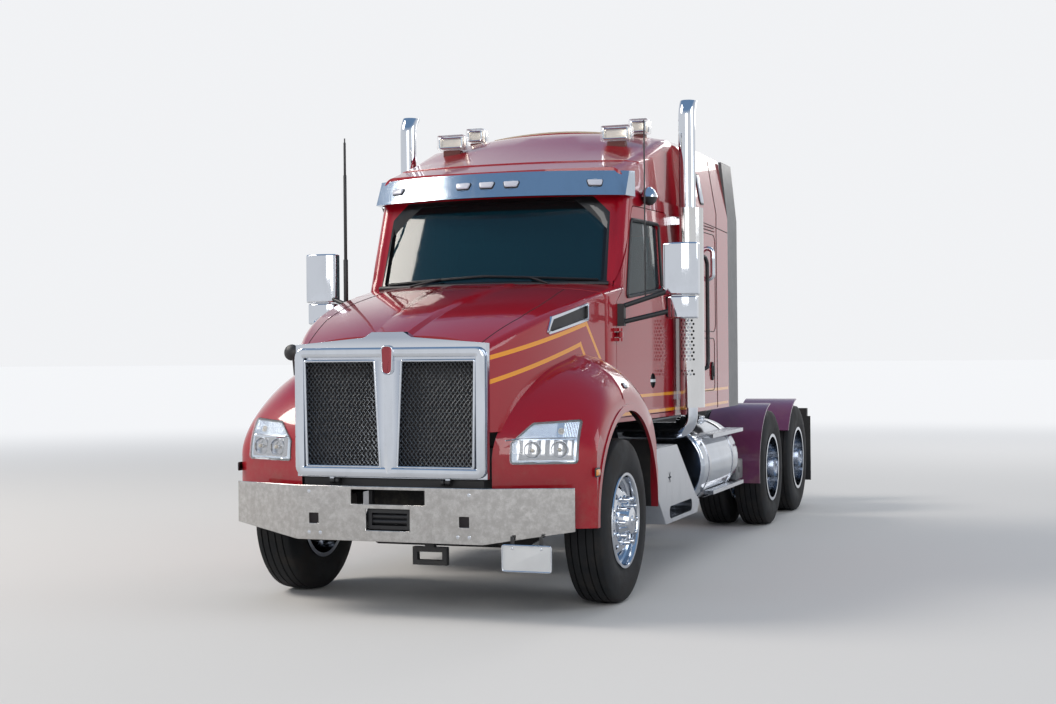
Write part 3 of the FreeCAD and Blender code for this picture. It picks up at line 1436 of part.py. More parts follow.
def doorHandle(door, outside):
    # Cup sunk into the left door's skin, with the bar that bridges it
    y = n.handleY
    z = n.handleZ
    near = Vector(n.doorNearX + n.runGap * 2, y, z)
    cup = tubeShape(near, near + Vector(n.cabRearHalf, 0, 0), n.handleRadius)
    floor = cabSolid(n.handleDepth, n.handleDepth, n.cabFrontY)
    half = n.handleRadius + n.handleBar / 2
    bar = boxShape(n.doorNearX + n.runGap * 2, y - half, z - n.handleBar / 2, 2 * n.cabRearHalf, y + half,
                   z + n.handleBar / 2)
    return door.cut(cup.cut(floor)).fuse(bar.common(outside).cut(cabSolid(n.cabWall / 2, n.cabWall / 2,
                                                                          n.cabFrontY)))


def makeCab():
    wall = n.cabWall
    rearY = n.cabRearY
    solid = cabSolid(0, 0, n.cabFrontY)
    hollow = cabSolid(wall, wall, n.cabFrontY + wall)
    hollow = hollow.cut(boxShape(-2 * n.cabRearHalf, rearY - wall, 0, 2 * n.cabRearHalf,
                                 rearY + n.cutOverrun, n.stackTopZ))
    throat = boxShape(-n.cabTopFrontHalf + 2 * wall, rearY - 2 * wall, n.cabBottomZ + wall,
                      n.cabTopFrontHalf - 2 * wall, rearY + n.cutOverrun, n.cabTopZ - 2 * wall)
    walls = solid.cut(hollow)
    far = 2 * n.cabRearHalf
    near = n.doorNearX
    doorHole = doorPrism(0, near, far)
    doorFill = doorPrism(n.runGap, near + n.runGap, far)
    windowHole = windowPrism(0, near, far)
    doorLeft = walls.common(doorFill).cut(windowHole)
    screenHole = screenPrism(0, n.screenBaseY - n.cabWall, n.cabFrontY + n.screenWrap * 3)
    shell = walls.cut([doorHole, doorHole.mirror(origin, plusX), screenHole, throat])
    fixedEyes, doorEyes, pins = doorHinges()
    doorLeft = doorLeft.multiFuse(doorEyes).cut(pins[1])
    doorLeft = doorHandle(doorLeft, solid)
    for piece in fixedEyes + pins[0]:
        shell = shell.fuse(piece).fuse(piece.mirror(origin, plusX))
    shapeNode("cab_shell", shell)
    outside = cabBlock(n.glassSet, n.glassSet)[1]
    inside = cabBlock(n.glassSet + n.glassThick, n.glassSet + n.glassThick)[1]
    skin = outside.cut(inside)
    screenFill = screenPrism(n.seatGap, n.screenBaseY - n.cabWall, n.cabFrontY + n.screenWrap * 3)
    shapeNode("windshield", skin.common(screenFill))
    glassLeft = skin.common(windowPrism(n.seatGap, near, far))
    for name, side in (("left", 1), ("right", -1)):
        door = doorLeft if side > 0 else doorLeft.mirror(origin, plusX)
        glass = glassLeft if side > 0 else glassLeft.mirror(origin, plusX)
        shapeNode("door_" + name, door)
        shapeNode("door_glass_" + name, glass)


makeCab()


# Roof and sleeper share one cross-section: straight sides, a shoulder and a crowned top
def bodySection(y, half, lowZ, sideZ, shoulderZ, crownZ, leanIn, inset):
    w = half - inset
    top = w - leanIn
    r = n.sleeperRound
    edge = shoulderZ - inset
    crown = crownZ - inset
    tuck = r * (1 - math.sqrt(0.5))
    right = [Vector(w, y, lowZ), Vector(w, y, sideZ), Vector(top, y, edge - r)]
    knee = Vector(top - tuck, y, edge - tuck)
    flat = Vector(top - r, y, edge)
    flip = lambda p: Vector(-p.x, p.y, p.z)
    return Part.Wire([line(flip(right[0]), right[0]), line(right[0], right[1]), line(right[1], right[2]),
                      arc(right[2], knee, flat), arc(flat, Vector(0, y, crown), flip(flat)),
                      arc(flip(flat), flip(knee), flip(right[2])), line(flip(right[2]), flip(right[1])),
                      line(flip(right[1]), flip(right[0]))])


def roofBlock(inset, lowZ):
    # Fairing that rises from the visor to the sleeper's roof
    stations = [(n.roofFrontY, n.roofFrontZ), (n.roofMidY, n.roofMidZ), (n.stackY, n.roofRearZ - n.cabWall),
                (n.cabRearY, n.roofRearZ)]
    wires = []
    for y, crown in stations:
        share = (y - n.roofFrontY) / (n.cabRearY - n.roofFrontY)
        half = blend(n.cabTopFrontHalf, n.cabTopRearHalf, share) - n.cabWall / 3
        shoulder = crown - blend(n.sleeperRound * 0.35, n.sleeperRound, share)
        wires.append(bodySection(y, half, lowZ, n.cabTopZ + n.cabWall, shoulder, crown,
                                 n.cabWall * 0.6, inset))
    block = Part.makeLoft(wires, True, True)
    front = cabPlan(lowZ, n.roofFrontY, n.cabTopFrontHalf, n.cabTopRearHalf, n.screenWrap,
                    n.cabCorner, inset)
    return block.common(Part.Face(front).extrude(Vector(0, 0, n.stackTopZ - lowZ)))


def makeRoof():
    wall = n.roofWall
    low = n.cabTopZ + n.seatGap
    outer = roofBlock(0, low)
    inner = roofBlock(wall, low - n.cutOverrun)
    shapeNode("roof_cap", outer.cut(inner))


def sleeperBlock(inset, frontY, rearY, lowZ):
    # Tall box of the sleeper, its roof rising a little behind the cab
    wires = []
    for share, crown, drop in ((0, n.sleeperFrontCrownZ, n.cabWall), (sleeperRiseShare, n.sleeperCrownZ, 0),
                               (1, n.sleeperCrownZ, 0)):
        wires.append(bodySection(blend(frontY, rearY, share), n.sleeperHalf, lowZ, n.cabTopZ,
                                 n.sleeperShoulderZ - drop, crown, n.cabWall * 1.6, inset))
    return Part.makeLoft(wires, True, True)


sleeperRiseShare = 0.3


def makeSleeper():
    wall = n.sleeperWall
    low = n.sleeperBottomZ
    front = n.cabRearY + n.seatGap
    rear = n.sleeperRearY
    outer = sleeperBlock(0, front, rear, low)
    inner = sleeperBlock(wall, front + wall, rear - wall, low + wall)
    throat = boxShape(-n.cabTopFrontHalf + 2 * wall, front - n.cutOverrun, n.cabBottomZ + 2 * wall,
                      n.cabTopFrontHalf - 2 * wall, front + wall + n.cutOverrun,
                      n.cabTopZ - 2 * wall)
    shapeNode("sleeper_shell", outer.cut([inner, throat]))


def makeExtenders():
    # Flat side panels behind the sleeper that narrow the gap to a trailer
    thick = n.extenderThick
    half = n.sleeperHalf
    y0 = n.sleeperRearY + n.seatGap
    lean = n.sleeperRound * 0.55
    corners = [(half - thick, n.sleeperBottomZ), (half, n.sleeperBottomZ), (half, n.cabTopZ),
               (half - lean, n.extenderTopZ), (half - lean - thick, n.extenderTopZ),
               (half - thick, n.cabTopZ)]
    shapeNode("side_extenders", bothSides(prismY(corners, y0, n.extenderRearY)))


def makeVisor():
    # Curved drop visor over the windscreen
    def plan(z, lean, inset):
        half = n.visorHalf - inset
        front = n.visorFrontY + lean + inset
        back = front + n.visorWrap
        far = n.roofFrontY + n.visorWrap
        edge = Vector(half, back, z)
        flip = lambda p: Vector(-p.x, p.y, p.z)
        rear = Vector(half + n.cabWall * 0.6, far, z)
        return Part.Wire([arc(flip(edge), Vector(0, front, z), edge), line(edge, rear),
                          line(rear, flip(rear)), line(flip(rear), flip(edge))])
    low = n.visorBottomZ
    high = low + n.visorHeight
    outer = Part.makeLoft([plan(low, 0, 0), plan(high, n.visorLean, 0)], True, True)
    inner = Part.makeLoft([plan(low - n.visorDepth, 0, n.visorDepth),
                           plan(high - n.visorDepth, n.visorLean, n.visorDepth)], True, True)
    skin = outer.cut(inner)
    trim = roofBlock(-n.seatGap, n.cabTopZ - n.cabWall)
    top = cabBlock(-n.seatGap, -n.seatGap)[1]
    skin = skin.cut([trim, top])
    pieces = [piece for piece in skin.Solids]
    pieces.sort(key=lambda piece: -piece.Volume)
    return pieces[0]


def makeVisorLights(visor):
    lights = []
    middleZ = n.visorBottomZ + n.visorHeight * 0.48
    for x, share in ((0, 0), (n.lightInnerX, 0), (-n.lightInnerX, 0),
                     (n.lightOuterX, 1), (-n.lightOuterX, 1)):
        half = n.visorHalf
        across = abs(x) / half
        y = n.visorFrontY + n.visorLean * 0.48 + n.visorWrap * across * across
        turn = math.atan(2 * n.visorWrap * across / half) * (1 if x > 0 else -1)
        direction = Vector(math.sin(turn), -math.cos(turn), 0)
        start = Vector(x, y, middleZ) - direction * n.visorDepth * 0.7
        lamp = tubeShape(start, start + direction * n.lightDepth, n.lightRadius)
        lights.append(lamp)
    roof = roofBlock(-n.seatGap, n.cabTopZ - n.cabWall)
    shapeNode("sun_visor", visor.cut(lights))
    shapeNode("visor_lights", Part.makeCompound([light.cut(roof) for light in lights]))


makeRoof()
makeSleeper()
makeExtenders()
makeVisorLights(makeVisor())


# Interior that shows through the glass: dash, steering wheel, seats and the bunk
def makeInterior():
    frontY = n.screenBaseY + n.cabWall * 1.5
    half = n.doorNearX - n.runGap
    dash = [(frontY, n.dashBottomZ), (frontY + n.dashDepth, n.dashBottomZ),
            (frontY + n.dashDepth, n.dashTopZ - n.cabWall * 3), (frontY + n.dashDepth * 0.7, n.dashTopZ),
            (frontY + n.dashDepth * 0.3, n.dashTopZ), (frontY, n.dashTopZ - n.cabWall)]
    room = n.cabWall + n.seatGap
    inside = cabSolid(room, room, n.cabFrontY + room)
    shapeNode("dashboard", prismX(dash, -half, half).common(inside))
    tilt = math.radians(n.wheelTilt)
    up = Vector(0, math.cos(tilt), math.sin(tilt))
    centre = Vector(n.wheelX, n.wheelY, n.wheelZ)
    ring = Part.makeTorus(n.wheelRingRadius, n.wheelRimRadius, centre, up)
    hub = tubeShape(centre - up * n.wheelRimRadius, centre + up * n.wheelRimRadius, n.wheelRimRadius * 4)
    columnEnd = Vector(n.wheelX, frontY + n.dashDepth + n.seatGap, 0)
    drop = (n.wheelY - columnEnd.y) * math.tan(tilt)
    columnEnd.z = n.wheelZ - drop
    column = tubeShape(centre, columnEnd, n.wheelRimRadius * 2)
    column = column.cut(boxShape(0, frontY, 0, 2 * n.wheelX, frontY + n.dashDepth + n.seatGap, n.stackTopZ))
    spokes = []
    across = Vector(1, 0, 0)
    ahead = up.cross(across)
    for angle in (90, 210, 330):
        turn = math.radians(angle)
        aim = across * math.cos(turn) + ahead * math.sin(turn)
        spokes.append(tubeShape(centre, centre + aim * n.wheelRingRadius, n.wheelRimRadius * 0.8))
    shapeNode("steering_wheel", ring.multiFuse([hub, column] + spokes))
    seats = []
    floor = n.cabBottomZ + n.cabWall + n.seatGap
    for side in (-1, 1):
        x0 = side * n.seatX - n.seatWidth / 2
        x1 = x0 + n.seatWidth
        top = n.seatBaseZ + n.seatCushion
        cushion = boxShape(x0, n.seatY, n.seatBaseZ, x1, n.seatY + n.seatDepth, top)
        back = [(n.seatY + n.seatDepth - n.seatBackThick, top),
                (n.seatY + n.seatDepth + n.seatBackThick, top + n.seatBackHeight),
                (n.seatY + n.seatDepth + 2 * n.seatBackThick, top + n.seatBackHeight),
                (n.seatY + n.seatDepth, top - n.seatCushion)]
        base = boxShape(x0 + n.seatCushion, n.seatY + n.seatCushion, floor,
                        x1 - n.seatCushion, n.seatY + n.seatDepth - n.seatCushion, n.seatBaseZ)
        seats.append(cushion.multiFuse([prismX(back, x0, x1), base]))
    shapeNode("seats", Part.makeCompound(seats))


makeInterior()


# Fuel tanks with straps, and their brackets to the rails
def makeTanks():
    tanks = []
    bands = []
    railX = n.frameWidth / 2 + n.seatGap
    for side in (-1, 1):
        centre = Vector(side * n.tankX, n.tankFrontY, n.tankZ)
        tank = Part.makeCylinder(n.tankRadius, n.tankRearY - n.tankFrontY, centre, plusY)
        ends = [e for e in tank.Edges if abs(e.Length - 2 * math.pi * n.tankRadius) < 1]
        tank = tank.makeFillet(n.strapWidth / 2, ends)
        tanks.append(tank)
        outerRadius = n.tankRadius + n.seatGap + n.strapThick
        for share in (0.16, 0.84):
            y = blend(n.tankFrontY, n.tankRearY, share) - n.strapWidth / 2
            start = Vector(side * n.tankX, y, n.tankZ)
            band = Part.makeCylinder(outerRadius, n.strapWidth, start, plusY)
            near, far = sorted((side * railX, side * n.tankX))
            bracket = boxShape(near, y, n.tankZ - n.tankRadius - n.strapThick, far,
                               y + n.strapWidth, n.railTopZ)
            band = band.fuse(bracket)
            hole = Part.makeCylinder(n.tankRadius + n.seatGap, 3 * n.strapWidth,
                                     start - Vector(0, n.strapWidth, 0), plusY)
            behind = boxShape(min(side * railX, 0), y - n.cutOverrun, 0, max(side * railX, 0),
                              y + 3 * n.strapWidth, n.stackTopZ)
            bands.append(band.cut([hole, behind]))
    shapeNode("fuel_tanks", Part.makeCompound(tanks))
    return bands


# Step boxes under the doors, each with two tread wells, and the long step by the tank
def makeSteps():
    boxes = []
    treads = []
    for side in (-1, 1):
        notch = blend(n.stepBoxBottomZ, n.stepBoxTopZ, stepNotchShare)
        outline = [(n.stepBoxFrontY, n.stepBoxTopZ), (n.stepBoxFrontY, notch),
                   (blend(n.stepBoxFrontY, n.stepBoxRearY, stepFootShare), n.stepBoxBottomZ),
                   (n.stepBoxRearY - n.treadThick * 2, n.stepBoxBottomZ),
                   (n.stepBoxRearY, n.stepBoxStepZ - n.treadThick * 2),
                   (n.stepBoxRearY - n.treadThick * 4, n.stepBoxStepZ), (n.stepBoxTopRearY, n.stepBoxTopZ)]
        near, far = sorted((side * n.stepBoxInnerX, side * n.stepBoxOuterX))
        box = prismX(outline, near, far)
        face = side * n.stepBoxOuterX
        near2, far2 = sorted((face - side * n.stepWellDepth, face + side * n.cutOverrun))
        z0 = n.stepBoxBottomZ + n.treadThick
        z1 = z0 + n.stepWellHeight * stepWellShare
        slot = [Vector(near2, blend(n.stepBoxFrontY, n.stepBoxRearY, share), z)
                for share, z in ((stepWellFrontShare, z0), (stepWellRearShare, z0),
                                 (stepWellRearShare, z1), (stepWellFrontShare, z1))]
        well = Part.Face(roundedWire(slot, (z1 - z0) * 0.45)).extrude(Vector(far2 - near2, 0, 0))
        # Small star: three slots that cross
        middle = Vector(face - side * n.treadThick, n.stepStarY, n.stepStarZ)
        star = []
        for turn in (0, 60, 120):
            half = n.stepStarHalf
            thin = n.stepStarWidth / 2
            bar = boxShape(-n.cutOverrun, -half, -thin, n.cutOverrun, half, thin)
            bar.rotate(origin, plusX, turn)
            bar.translate(middle + Vector(side * n.cutOverrun, 0, 0))
            star.append(bar)
        box = box.cut([well] + star)
        tank = Part.makeCylinder(n.tankRadius + n.strapThick + 2 * n.seatGap,
                                 n.tankRearY - n.tankFrontY + n.cutOverrun,
                                 Vector(side * n.tankX, n.tankFrontY - n.cutOverrun / 2, n.tankZ), plusY)
        railX = n.frameWidth / 2 + n.seatGap
        near, far = sorted((side * railX, side * (n.stepBoxInnerX + n.cutOverrun)))
        arms = []
        for share in (0.1, 0.42):
            y = blend(n.stepBoxFrontY, n.stepBoxRearY, share)
            arms.append(boxShape(near, y, n.stepBoxTopZ - 2 * n.strapWidth, far, y + n.strapWidth,
                                 n.stepBoxTopZ - n.strapWidth))
        boxes.append(box.cut(tank).multiFuse(arms))
        outer = side * n.treadStepHalf
        inner = side * (n.tankX + n.tankRadius * 0.8)
        near, far = sorted((inner, outer))
        plank = boxShape(near, n.tankFrontY + n.tankStepSet, n.treadStepZ - n.treadThick, far,
                         n.tankRearY + n.tankStepSet / 2, n.treadStepZ)
        treads.append(plank.cut(tank))
        near, far = sorted((side * n.tankPlateInnerX, outer))
        plate = boxShape(near, n.tankFrontY + n.tankStepSet, n.tankPlateZ - n.treadThick, far,
                         n.tankRearY + n.tankStepSet / 2, n.tankPlateZ)
        treads.append(plate.cut(tank))
    shapeNode("step_boxes", Part.makeCompound(boxes))
    return treads


stepNotchShare = 0.47
stepFootShare = 0.22
stepWellShare = 0.6
stepWellFrontShare = 0.3
stepWellRearShare = 0.82
bandShapes = makeTanks()
treadShapes = makeSteps()
shapeNode("tank_straps", Part.makeCompound(bandShapes + treadShapes))


# Exhaust stacks with curved tips, and perforated heat shields round them
def makeStacks():
    stacks = []
    cabSkin = Part.makeCompound(cabBlock(-n.seatGap, -n.seatGap))
    for side in (-1, 1):
        x = side * n.stackX
        low = Vector(x, n.stackY, n.stackBottomZ)
        inward = Vector(side * (n.frameWidth / 2 + n.stackTipRadius), n.stackY, n.stackBottomZ)
        top = Vector(x, n.stackY, n.stackTopZ - n.stackTipRadius)
        outer = bentBar([Vector(x, n.stackY, n.stackTopZ - n.stackTipRadius), low, inward],
                        n.stackRadius, n.stackTipRadius * 0.7)
        lean = Vector(x, n.stackY + n.stackTipRadius * 0.9, n.stackTopZ + n.stackTipRadius * 0.5)
        tip = bentBar([top, Vector(x, n.stackY, n.stackTopZ - n.stackTipRadius * 0.4), lean],
                      n.stackRadius, n.stackTipRadius)
        tip = tip.cut(boxShape(x - n.stackTipRadius, n.stackY - n.stackTipRadius, n.stackTopZ,
                               x + n.stackTipRadius, n.stackY + 3 * n.stackTipRadius,
                               n.stackTopZ + 2 * n.stackTipRadius))
        brackets = []
        for z in (n.shieldBottomZ + n.strapWidth, n.shieldTopZ - 2 * n.strapWidth):
            near, far = sorted((side * n.cabTopFrontHalf, x))
            brackets.append(boxShape(near, n.stackY - n.strapWidth / 2, z, far,
                                     n.stackY + n.strapWidth / 2, z + n.strapWidth).cut(cabSkin))
        stacks.append(outer.multiFuse([tip] + brackets))
    shapeNode("exhaust_stacks", Part.makeCompound(stacks))
    shapeNode("heat_shields", bothSides(heatShield()))


def heatShield():
    # Half-open sleeve round the left stack with a field of holes towards the front
    x = n.stackX
    radius = n.shieldRadius
    z0 = n.shieldBottomZ
    tall = n.shieldTopZ - z0
    shell = Part.makeCylinder(radius, tall, Vector(x, n.stackY, z0), plusZ)
    shell = shell.cut(Part.makeCylinder(radius - n.shieldThick, tall, Vector(x, n.stackY, z0), plusZ))
    behind = boxShape(0, n.stackY - 2 * radius, z0, x - radius * 0.3, n.stackY + 2 * radius, n.shieldTopZ)
    feet = []
    for share in (0.1, 0.9):
        z = blend(z0, n.shieldTopZ, share)
        feet.append(boxShape(x + n.stackRadius + n.seatGap, n.stackY - n.strapWidth / 3, z,
                             x + radius - n.shieldThick / 2, n.stackY + n.strapWidth / 3, z + n.strapThick))
    step = n.shieldHolePitch / radius
    rows = [n.shieldHolesZ + n.shieldHolePitch * index for index in range(shieldRows)]
    rows += [n.shieldLowHolesZ, n.shieldLowHolesZ + n.shieldHolePitch]
    holes = []
    for index, z in enumerate(rows):
        for column in range(shieldColumns - index % 2):
            angle = (column - (shieldColumns - 1 - index % 2) / 2) * step
            aim = Vector(math.sin(angle), -math.cos(angle), 0)
            centre = Vector(x, n.stackY, z)
            holes.append(tubeShape(centre + aim * (radius * 0.8), centre + aim * (radius * 1.1),
                                   n.shieldHoleRadius))
    return shell.cut(behind).multiFuse(feet).cut(Part.makeCompound(holes))


shieldRows = 12
shieldColumns = 6


makeStacks()


# Mirrors on their arms and the antennas, one node for each door
def mirrorHead(half, depth, lowZ, highZ):
    # Housing with a flat rear and a convex front, its ends rounded over
    x = n.mirrorX
    rear = n.mirrorY + n.mirrorDepth / 2
    front = rear - depth
    waist = rear - depth * mirrorSideShare
    wire = Part.Wire([line(Vector(x - half, rear, lowZ), Vector(x + half, rear, lowZ)),
                      line(Vector(x + half, rear, lowZ), Vector(x + half, waist, lowZ)),
                      arc(Vector(x + half, waist, lowZ), Vector(x, front, lowZ),
                          Vector(x - half, waist, lowZ)),
                      line(Vector(x - half, waist, lowZ), Vector(x - half, rear, lowZ))])
    head = Part.Face(wire).extrude(Vector(0, 0, highZ - lowZ))
    edges = [e for e in head.Edges
             if e.BoundBox.ZLength > n.mirrorRound and e.BoundBox.YMax < rear - n.seatGap]
    head = head.makeFillet(n.mirrorRound, edges)
    ends = [e for e in head.Edges
            if e.BoundBox.ZLength < n.seatGap and e.BoundBox.YMin < rear - n.seatGap]
    return head.makeFillet(n.mirrorRound * mirrorEndShare, ends)


mirrorSideShare = 0.6
mirrorEndShare = 0.6
mirrorLowerShare = 0.9


def makeMirrors():
    for name, side in (("left", 1), ("right", -1)):
        half = n.mirrorWidth / 2
        x = n.mirrorX
        upper = mirrorHead(half, n.mirrorDepth, n.mirrorSplitZ, n.mirrorTopZ)
        lower = mirrorHead(half * mirrorLowerShare, n.mirrorDepth * mirrorLowerShare, n.mirrorBottomZ,
                           n.mirrorSplitZ - n.runGap)
        neck = boxShape(x - half / 2, n.mirrorY - n.runGap, n.mirrorSplitZ - n.mirrorRound * 2,
                        x + half / 2, n.mirrorY + n.mirrorDepth / 4, n.mirrorSplitZ + n.mirrorRound * 2)
        head = upper.multiFuse([lower, neck])
        rootX = n.doorHingeX - n.cabWall * 0.6
        arms = []
        for z, rootZ in ((n.mirrorArmLowZ, n.mirrorRootLowZ), (n.mirrorArmHighZ, n.mirrorRootHighZ)):
            start = Vector(rootX, n.doorFrontY + n.cabWall, rootZ)
            end = Vector(x - half + n.cabWall, n.mirrorY, z)
            arms.append(tubeShape(start, end, n.mirrorArmRadius))
        plateX = n.mirrorPlateHalf
        plateY = n.doorFrontY + n.cabWall
        lowZ = n.mirrorRootLowZ - n.mirrorArmRadius * 1.2
        highZ = n.mirrorRootHighZ + n.mirrorArmRadius * 1.6
        arms.append(boxShape(rootX, plateY - plateX, lowZ, rootX + 2 * plateX, plateY + plateX, highZ))
        shape = head.multiFuse(arms)
        share = (n.antennaX - start.x) / (end.x - start.x)
        foot = start + (end - start) * share
        whip = tubeShape(foot, Vector(foot.x, foot.y, n.antennaTopZ), n.antennaRadius)
        shape = shape.fuse(whip)
        block = cabBlock(-n.seatGap, -n.seatGap)
        shape = shape.cut([block[0], block[1]])
        if side < 0:
            shape = shape.mirror(origin, plusX)
        shapeNode("mirror_" + name, shape)


makeMirrors()


# Fifth wheel: fixed base on the rails and the tilting plate with its throat
def makeFifthWheel():
    inner = n.frameWidth / 2
    pin = n.fifthPinRadius
    ears = []
    for side in (-1, 1):
        x = side * (inner - n.railFlange / 2)
        half = n.railFlange / 3
        ear = [(n.fifthY - 4 * pin, n.railTopZ + n.seatGap), (n.fifthY + 4 * pin, n.railTopZ + n.seatGap),
               (n.fifthY + 1.6 * pin, n.fifthPivotZ + 1.6 * pin),
               (n.fifthY - 1.6 * pin, n.fifthPivotZ + 1.6 * pin)]
        ears.append(prismX(ear, x - half, x + half))
    slab = boxShape(-inner, n.fifthY - n.fifthLength * 0.4, n.railTopZ + n.seatGap,
                    inner, n.fifthY + n.fifthLength * 0.4, n.railTopZ + n.seatGap + n.memberThick)
    bores = [tubeShape(Vector(-inner, n.fifthY, n.fifthPivotZ), Vector(inner, n.fifthY, n.fifthPivotZ),
                       pin + n.seatGap / 6)]
    shapeNode("fifth_wheel_base", slab.multiFuse(ears).cut(bores))
    body = newBody("fifth_wheel_plate")
    y0 = "fifthY - fifthLength * 0.42"
    y1 = "fifthY + fifthLength * 0.58"
    half = "fifthHalfWidth"
    outline = [(minus(half) + " * 0.62", y0), (half + " * 0.62", y0), (half, y0 + " + fifthLength * 0.25"),
               (half, y0 + " + fifthLength * 0.62"), (half + " * 0.55", y1),
               ("fifthKingpinHalf + fifthLength * 0.16", y1),
               ("fifthKingpinHalf", "fifthY + fifthLength * 0.2"),
               ("fifthKingpinHalf", "fifthY"), ("-1 * fifthKingpinHalf", "fifthY"),
               ("-1 * fifthKingpinHalf", "fifthY + fifthLength * 0.2"),
               ("-1 * (fifthKingpinHalf + fifthLength * 0.16)", y1), (minus(half + " * 0.55"), y1),
               (minus(half), y0 + " + fifthLength * 0.62"), (minus(half), y0 + " + fifthLength * 0.25")]
    pad(body, "XY", [outline], "fifthTopZ - fifthThick", "fifthTopZ")
    pocket(body, "XY", [["circle", "0", "fifthY", "fifthKingpinHalf"]], "fifthPivotZ",
           "fifthTopZ + cutOverrun")
    earHalf = "railFlange / 3"
    out0 = "frameWidth / 2 - railFlange / 2 - " + earHalf
    x0 = out0 + " - railFlange / 2"
    x1 = out0 + " - seatGap"
    lug = [("fifthY - 2 * fifthPinRadius", "fifthTopZ - fifthThick"),
           ("fifthY - 2 * fifthPinRadius", "fifthPivotZ - 1.6 * fifthPinRadius"),
           ("fifthY + 2 * fifthPinRadius", "fifthPivotZ - 1.6 * fifthPinRadius"),
           ("fifthY + 2 * fifthPinRadius", "fifthTopZ - fifthThick")]
    pad(body, "YZ", [lug], x0, x1)
    pad(body, "YZ", [lug], minus(x1), minus(x0))
    pad(body, "YZ", [[("circle"), "fifthY", "fifthPivotZ", "fifthPinRadius"]],
        "-1 * frameWidth / 2", "frameWidth / 2")
    placeNode(body, "fifth_wheel_plate")


# Quarter fenders over the drive wheels
def makeDriveFenders():
    pieces = []
    for side in (-1, 1):
        inner = side * n.driveFenderHalfInner
        outer = side * n.driveFenderHalfOuter
        near, far = sorted((inner, outer))
        for y, start, sweep in ((n.firstDriveY, 98, 92), (n.secondDriveY, 98, 52)):
            radius = n.tyreRadius + n.driveFenderGap
            axle = Vector(near, y, n.tyreRadius)
            ring = Part.makeCylinder(radius + n.driveFenderThick, far - near, axle, plusX)
            ring = ring.cut(Part.makeCylinder(radius, far - near, axle, plusX))
            reach = 2 * radius
            a = math.radians(start)
            b = math.radians(start + sweep)
            corners = [(y, n.tyreRadius),
                       (y + reach * math.cos(a), n.tyreRadius + reach * math.sin(a)),
                       (y + reach * 1.2 * math.cos((a + b) / 2),
                        n.tyreRadius + reach * 1.2 * math.sin((a + b) / 2)),
                       (y + reach * math.cos(b), n.tyreRadius + reach * math.sin(b))]
            wedge = prismX(corners, near, far)
            arch = ring.common(wedge)
            postY = y - radius * math.cos(math.radians(40))
            postZ = n.tyreRadius + (radius + n.driveFenderThick / 2) * math.sin(math.radians(40))
            inRail = side * (n.frameWidth / 2 + n.seatGap)
            postEnd = side * (n.driveFenderHalfInner + n.cutOverrun)
            post = tubeShape(Vector(inRail, postY, postZ), Vector(postEnd, postY, postZ), n.fenderPostRadius)
            pieces.append(arch.fuse(post))
    shapeNode("drive_fenders", Part.makeCompound(pieces))


# Rear beam with the mud flaps that hang from it
def makeTail():
    y1 = n.rearEndY
    y0 = y1 - n.tailBeamDepth
    half = n.tailBeamHalf
    topZ = n.railTopZ - n.railThick
    beam = boxShape(-half, y0 + n.seatGap, topZ - n.tailBeamHeight, half, y1, topZ)
    shapeNode("tail_beam", beam)
    flaps = []
    for side in (-1, 1):
        x1 = side * n.driveFenderHalfOuter * 0.995
        x0 = x1 - side * n.flapWidth
        near, far = sorted((x0, x1))
        topZ = n.flapTopZ + n.tailBeamHeight / 2
        flaps.append(boxShape(near, y0 - n.flapThick, n.flapBottomZ, far, y0, topZ))
    shapeNode("mud_flaps", Part.makeCompound(flaps))


# Four rectangular work lamps that stand on the roof
def makeBeacons():
    lamps = []
    low = n.cabTopZ - n.cabWall
    roof = roofBlock(-n.seatGap, low)
    bunk = sleeperBlock(-n.seatGap, n.cabRearY, n.sleeperRearY, low)
    for x, y, under, halfWidth in ((n.beaconFrontX, n.beaconFrontY, roof, n.beaconFrontHalf),
                                   (n.beaconRearX, n.beaconRearY, bunk, n.beaconRearHalf)):
        probe = Part.makeLine(Vector(x, y, low), Vector(x, y, n.stackTopZ)).common(under)
        topZ = probe.BoundBox.ZMax
        for side in (-1, 1):
            z0 = topZ + n.beaconBaseHeight
            box = boxShape(side * x - halfWidth, y - n.beaconDepth / 2, z0, side * x + halfWidth,
                           y + n.beaconDepth / 2, z0 + n.beaconHeight)
            edges = [e for e in box.Edges if e.Length < n.beaconDepth + 1]
            box = box.makeFillet(n.beaconHeight * 0.16, edges)
            foot = boxShape(side * x - halfWidth * 0.6, y - n.beaconDepth * 0.3, topZ - n.beaconHeight,
                            side * x + halfWidth * 0.6, y + n.beaconDepth * 0.3, z0 + n.seatGap)
            lamps.append(box.fuse(foot).cut(under))
    shapeNode("beacons", Part.makeCompound(lamps))


makeFifthWheel()
makeDriveFenders()
makeTail()
makeBeacons()

# Every object recomputed without a fault and every piece a sound solid before anything is written
doc.recompute()
for thing in doc.Objects:
    if "Invalid" in thing.State or "Error" in thing.State:
        raise RuntimeError("not recomputed: " + thing.Name + " " + thing.Label)
for thing in nodes:
    if thing.Shape.isNull() or not thing.Shape.isValid() or not thing.Shape.Solids:
        raise RuntimeError("shape not sound: " + thing.Label)
for thing in nodes:
    thing.Shape.exportStep("parts/" + thing.Label + ".step")
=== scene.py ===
import json
import math

import bpy
from mathutils import Matrix, Vector


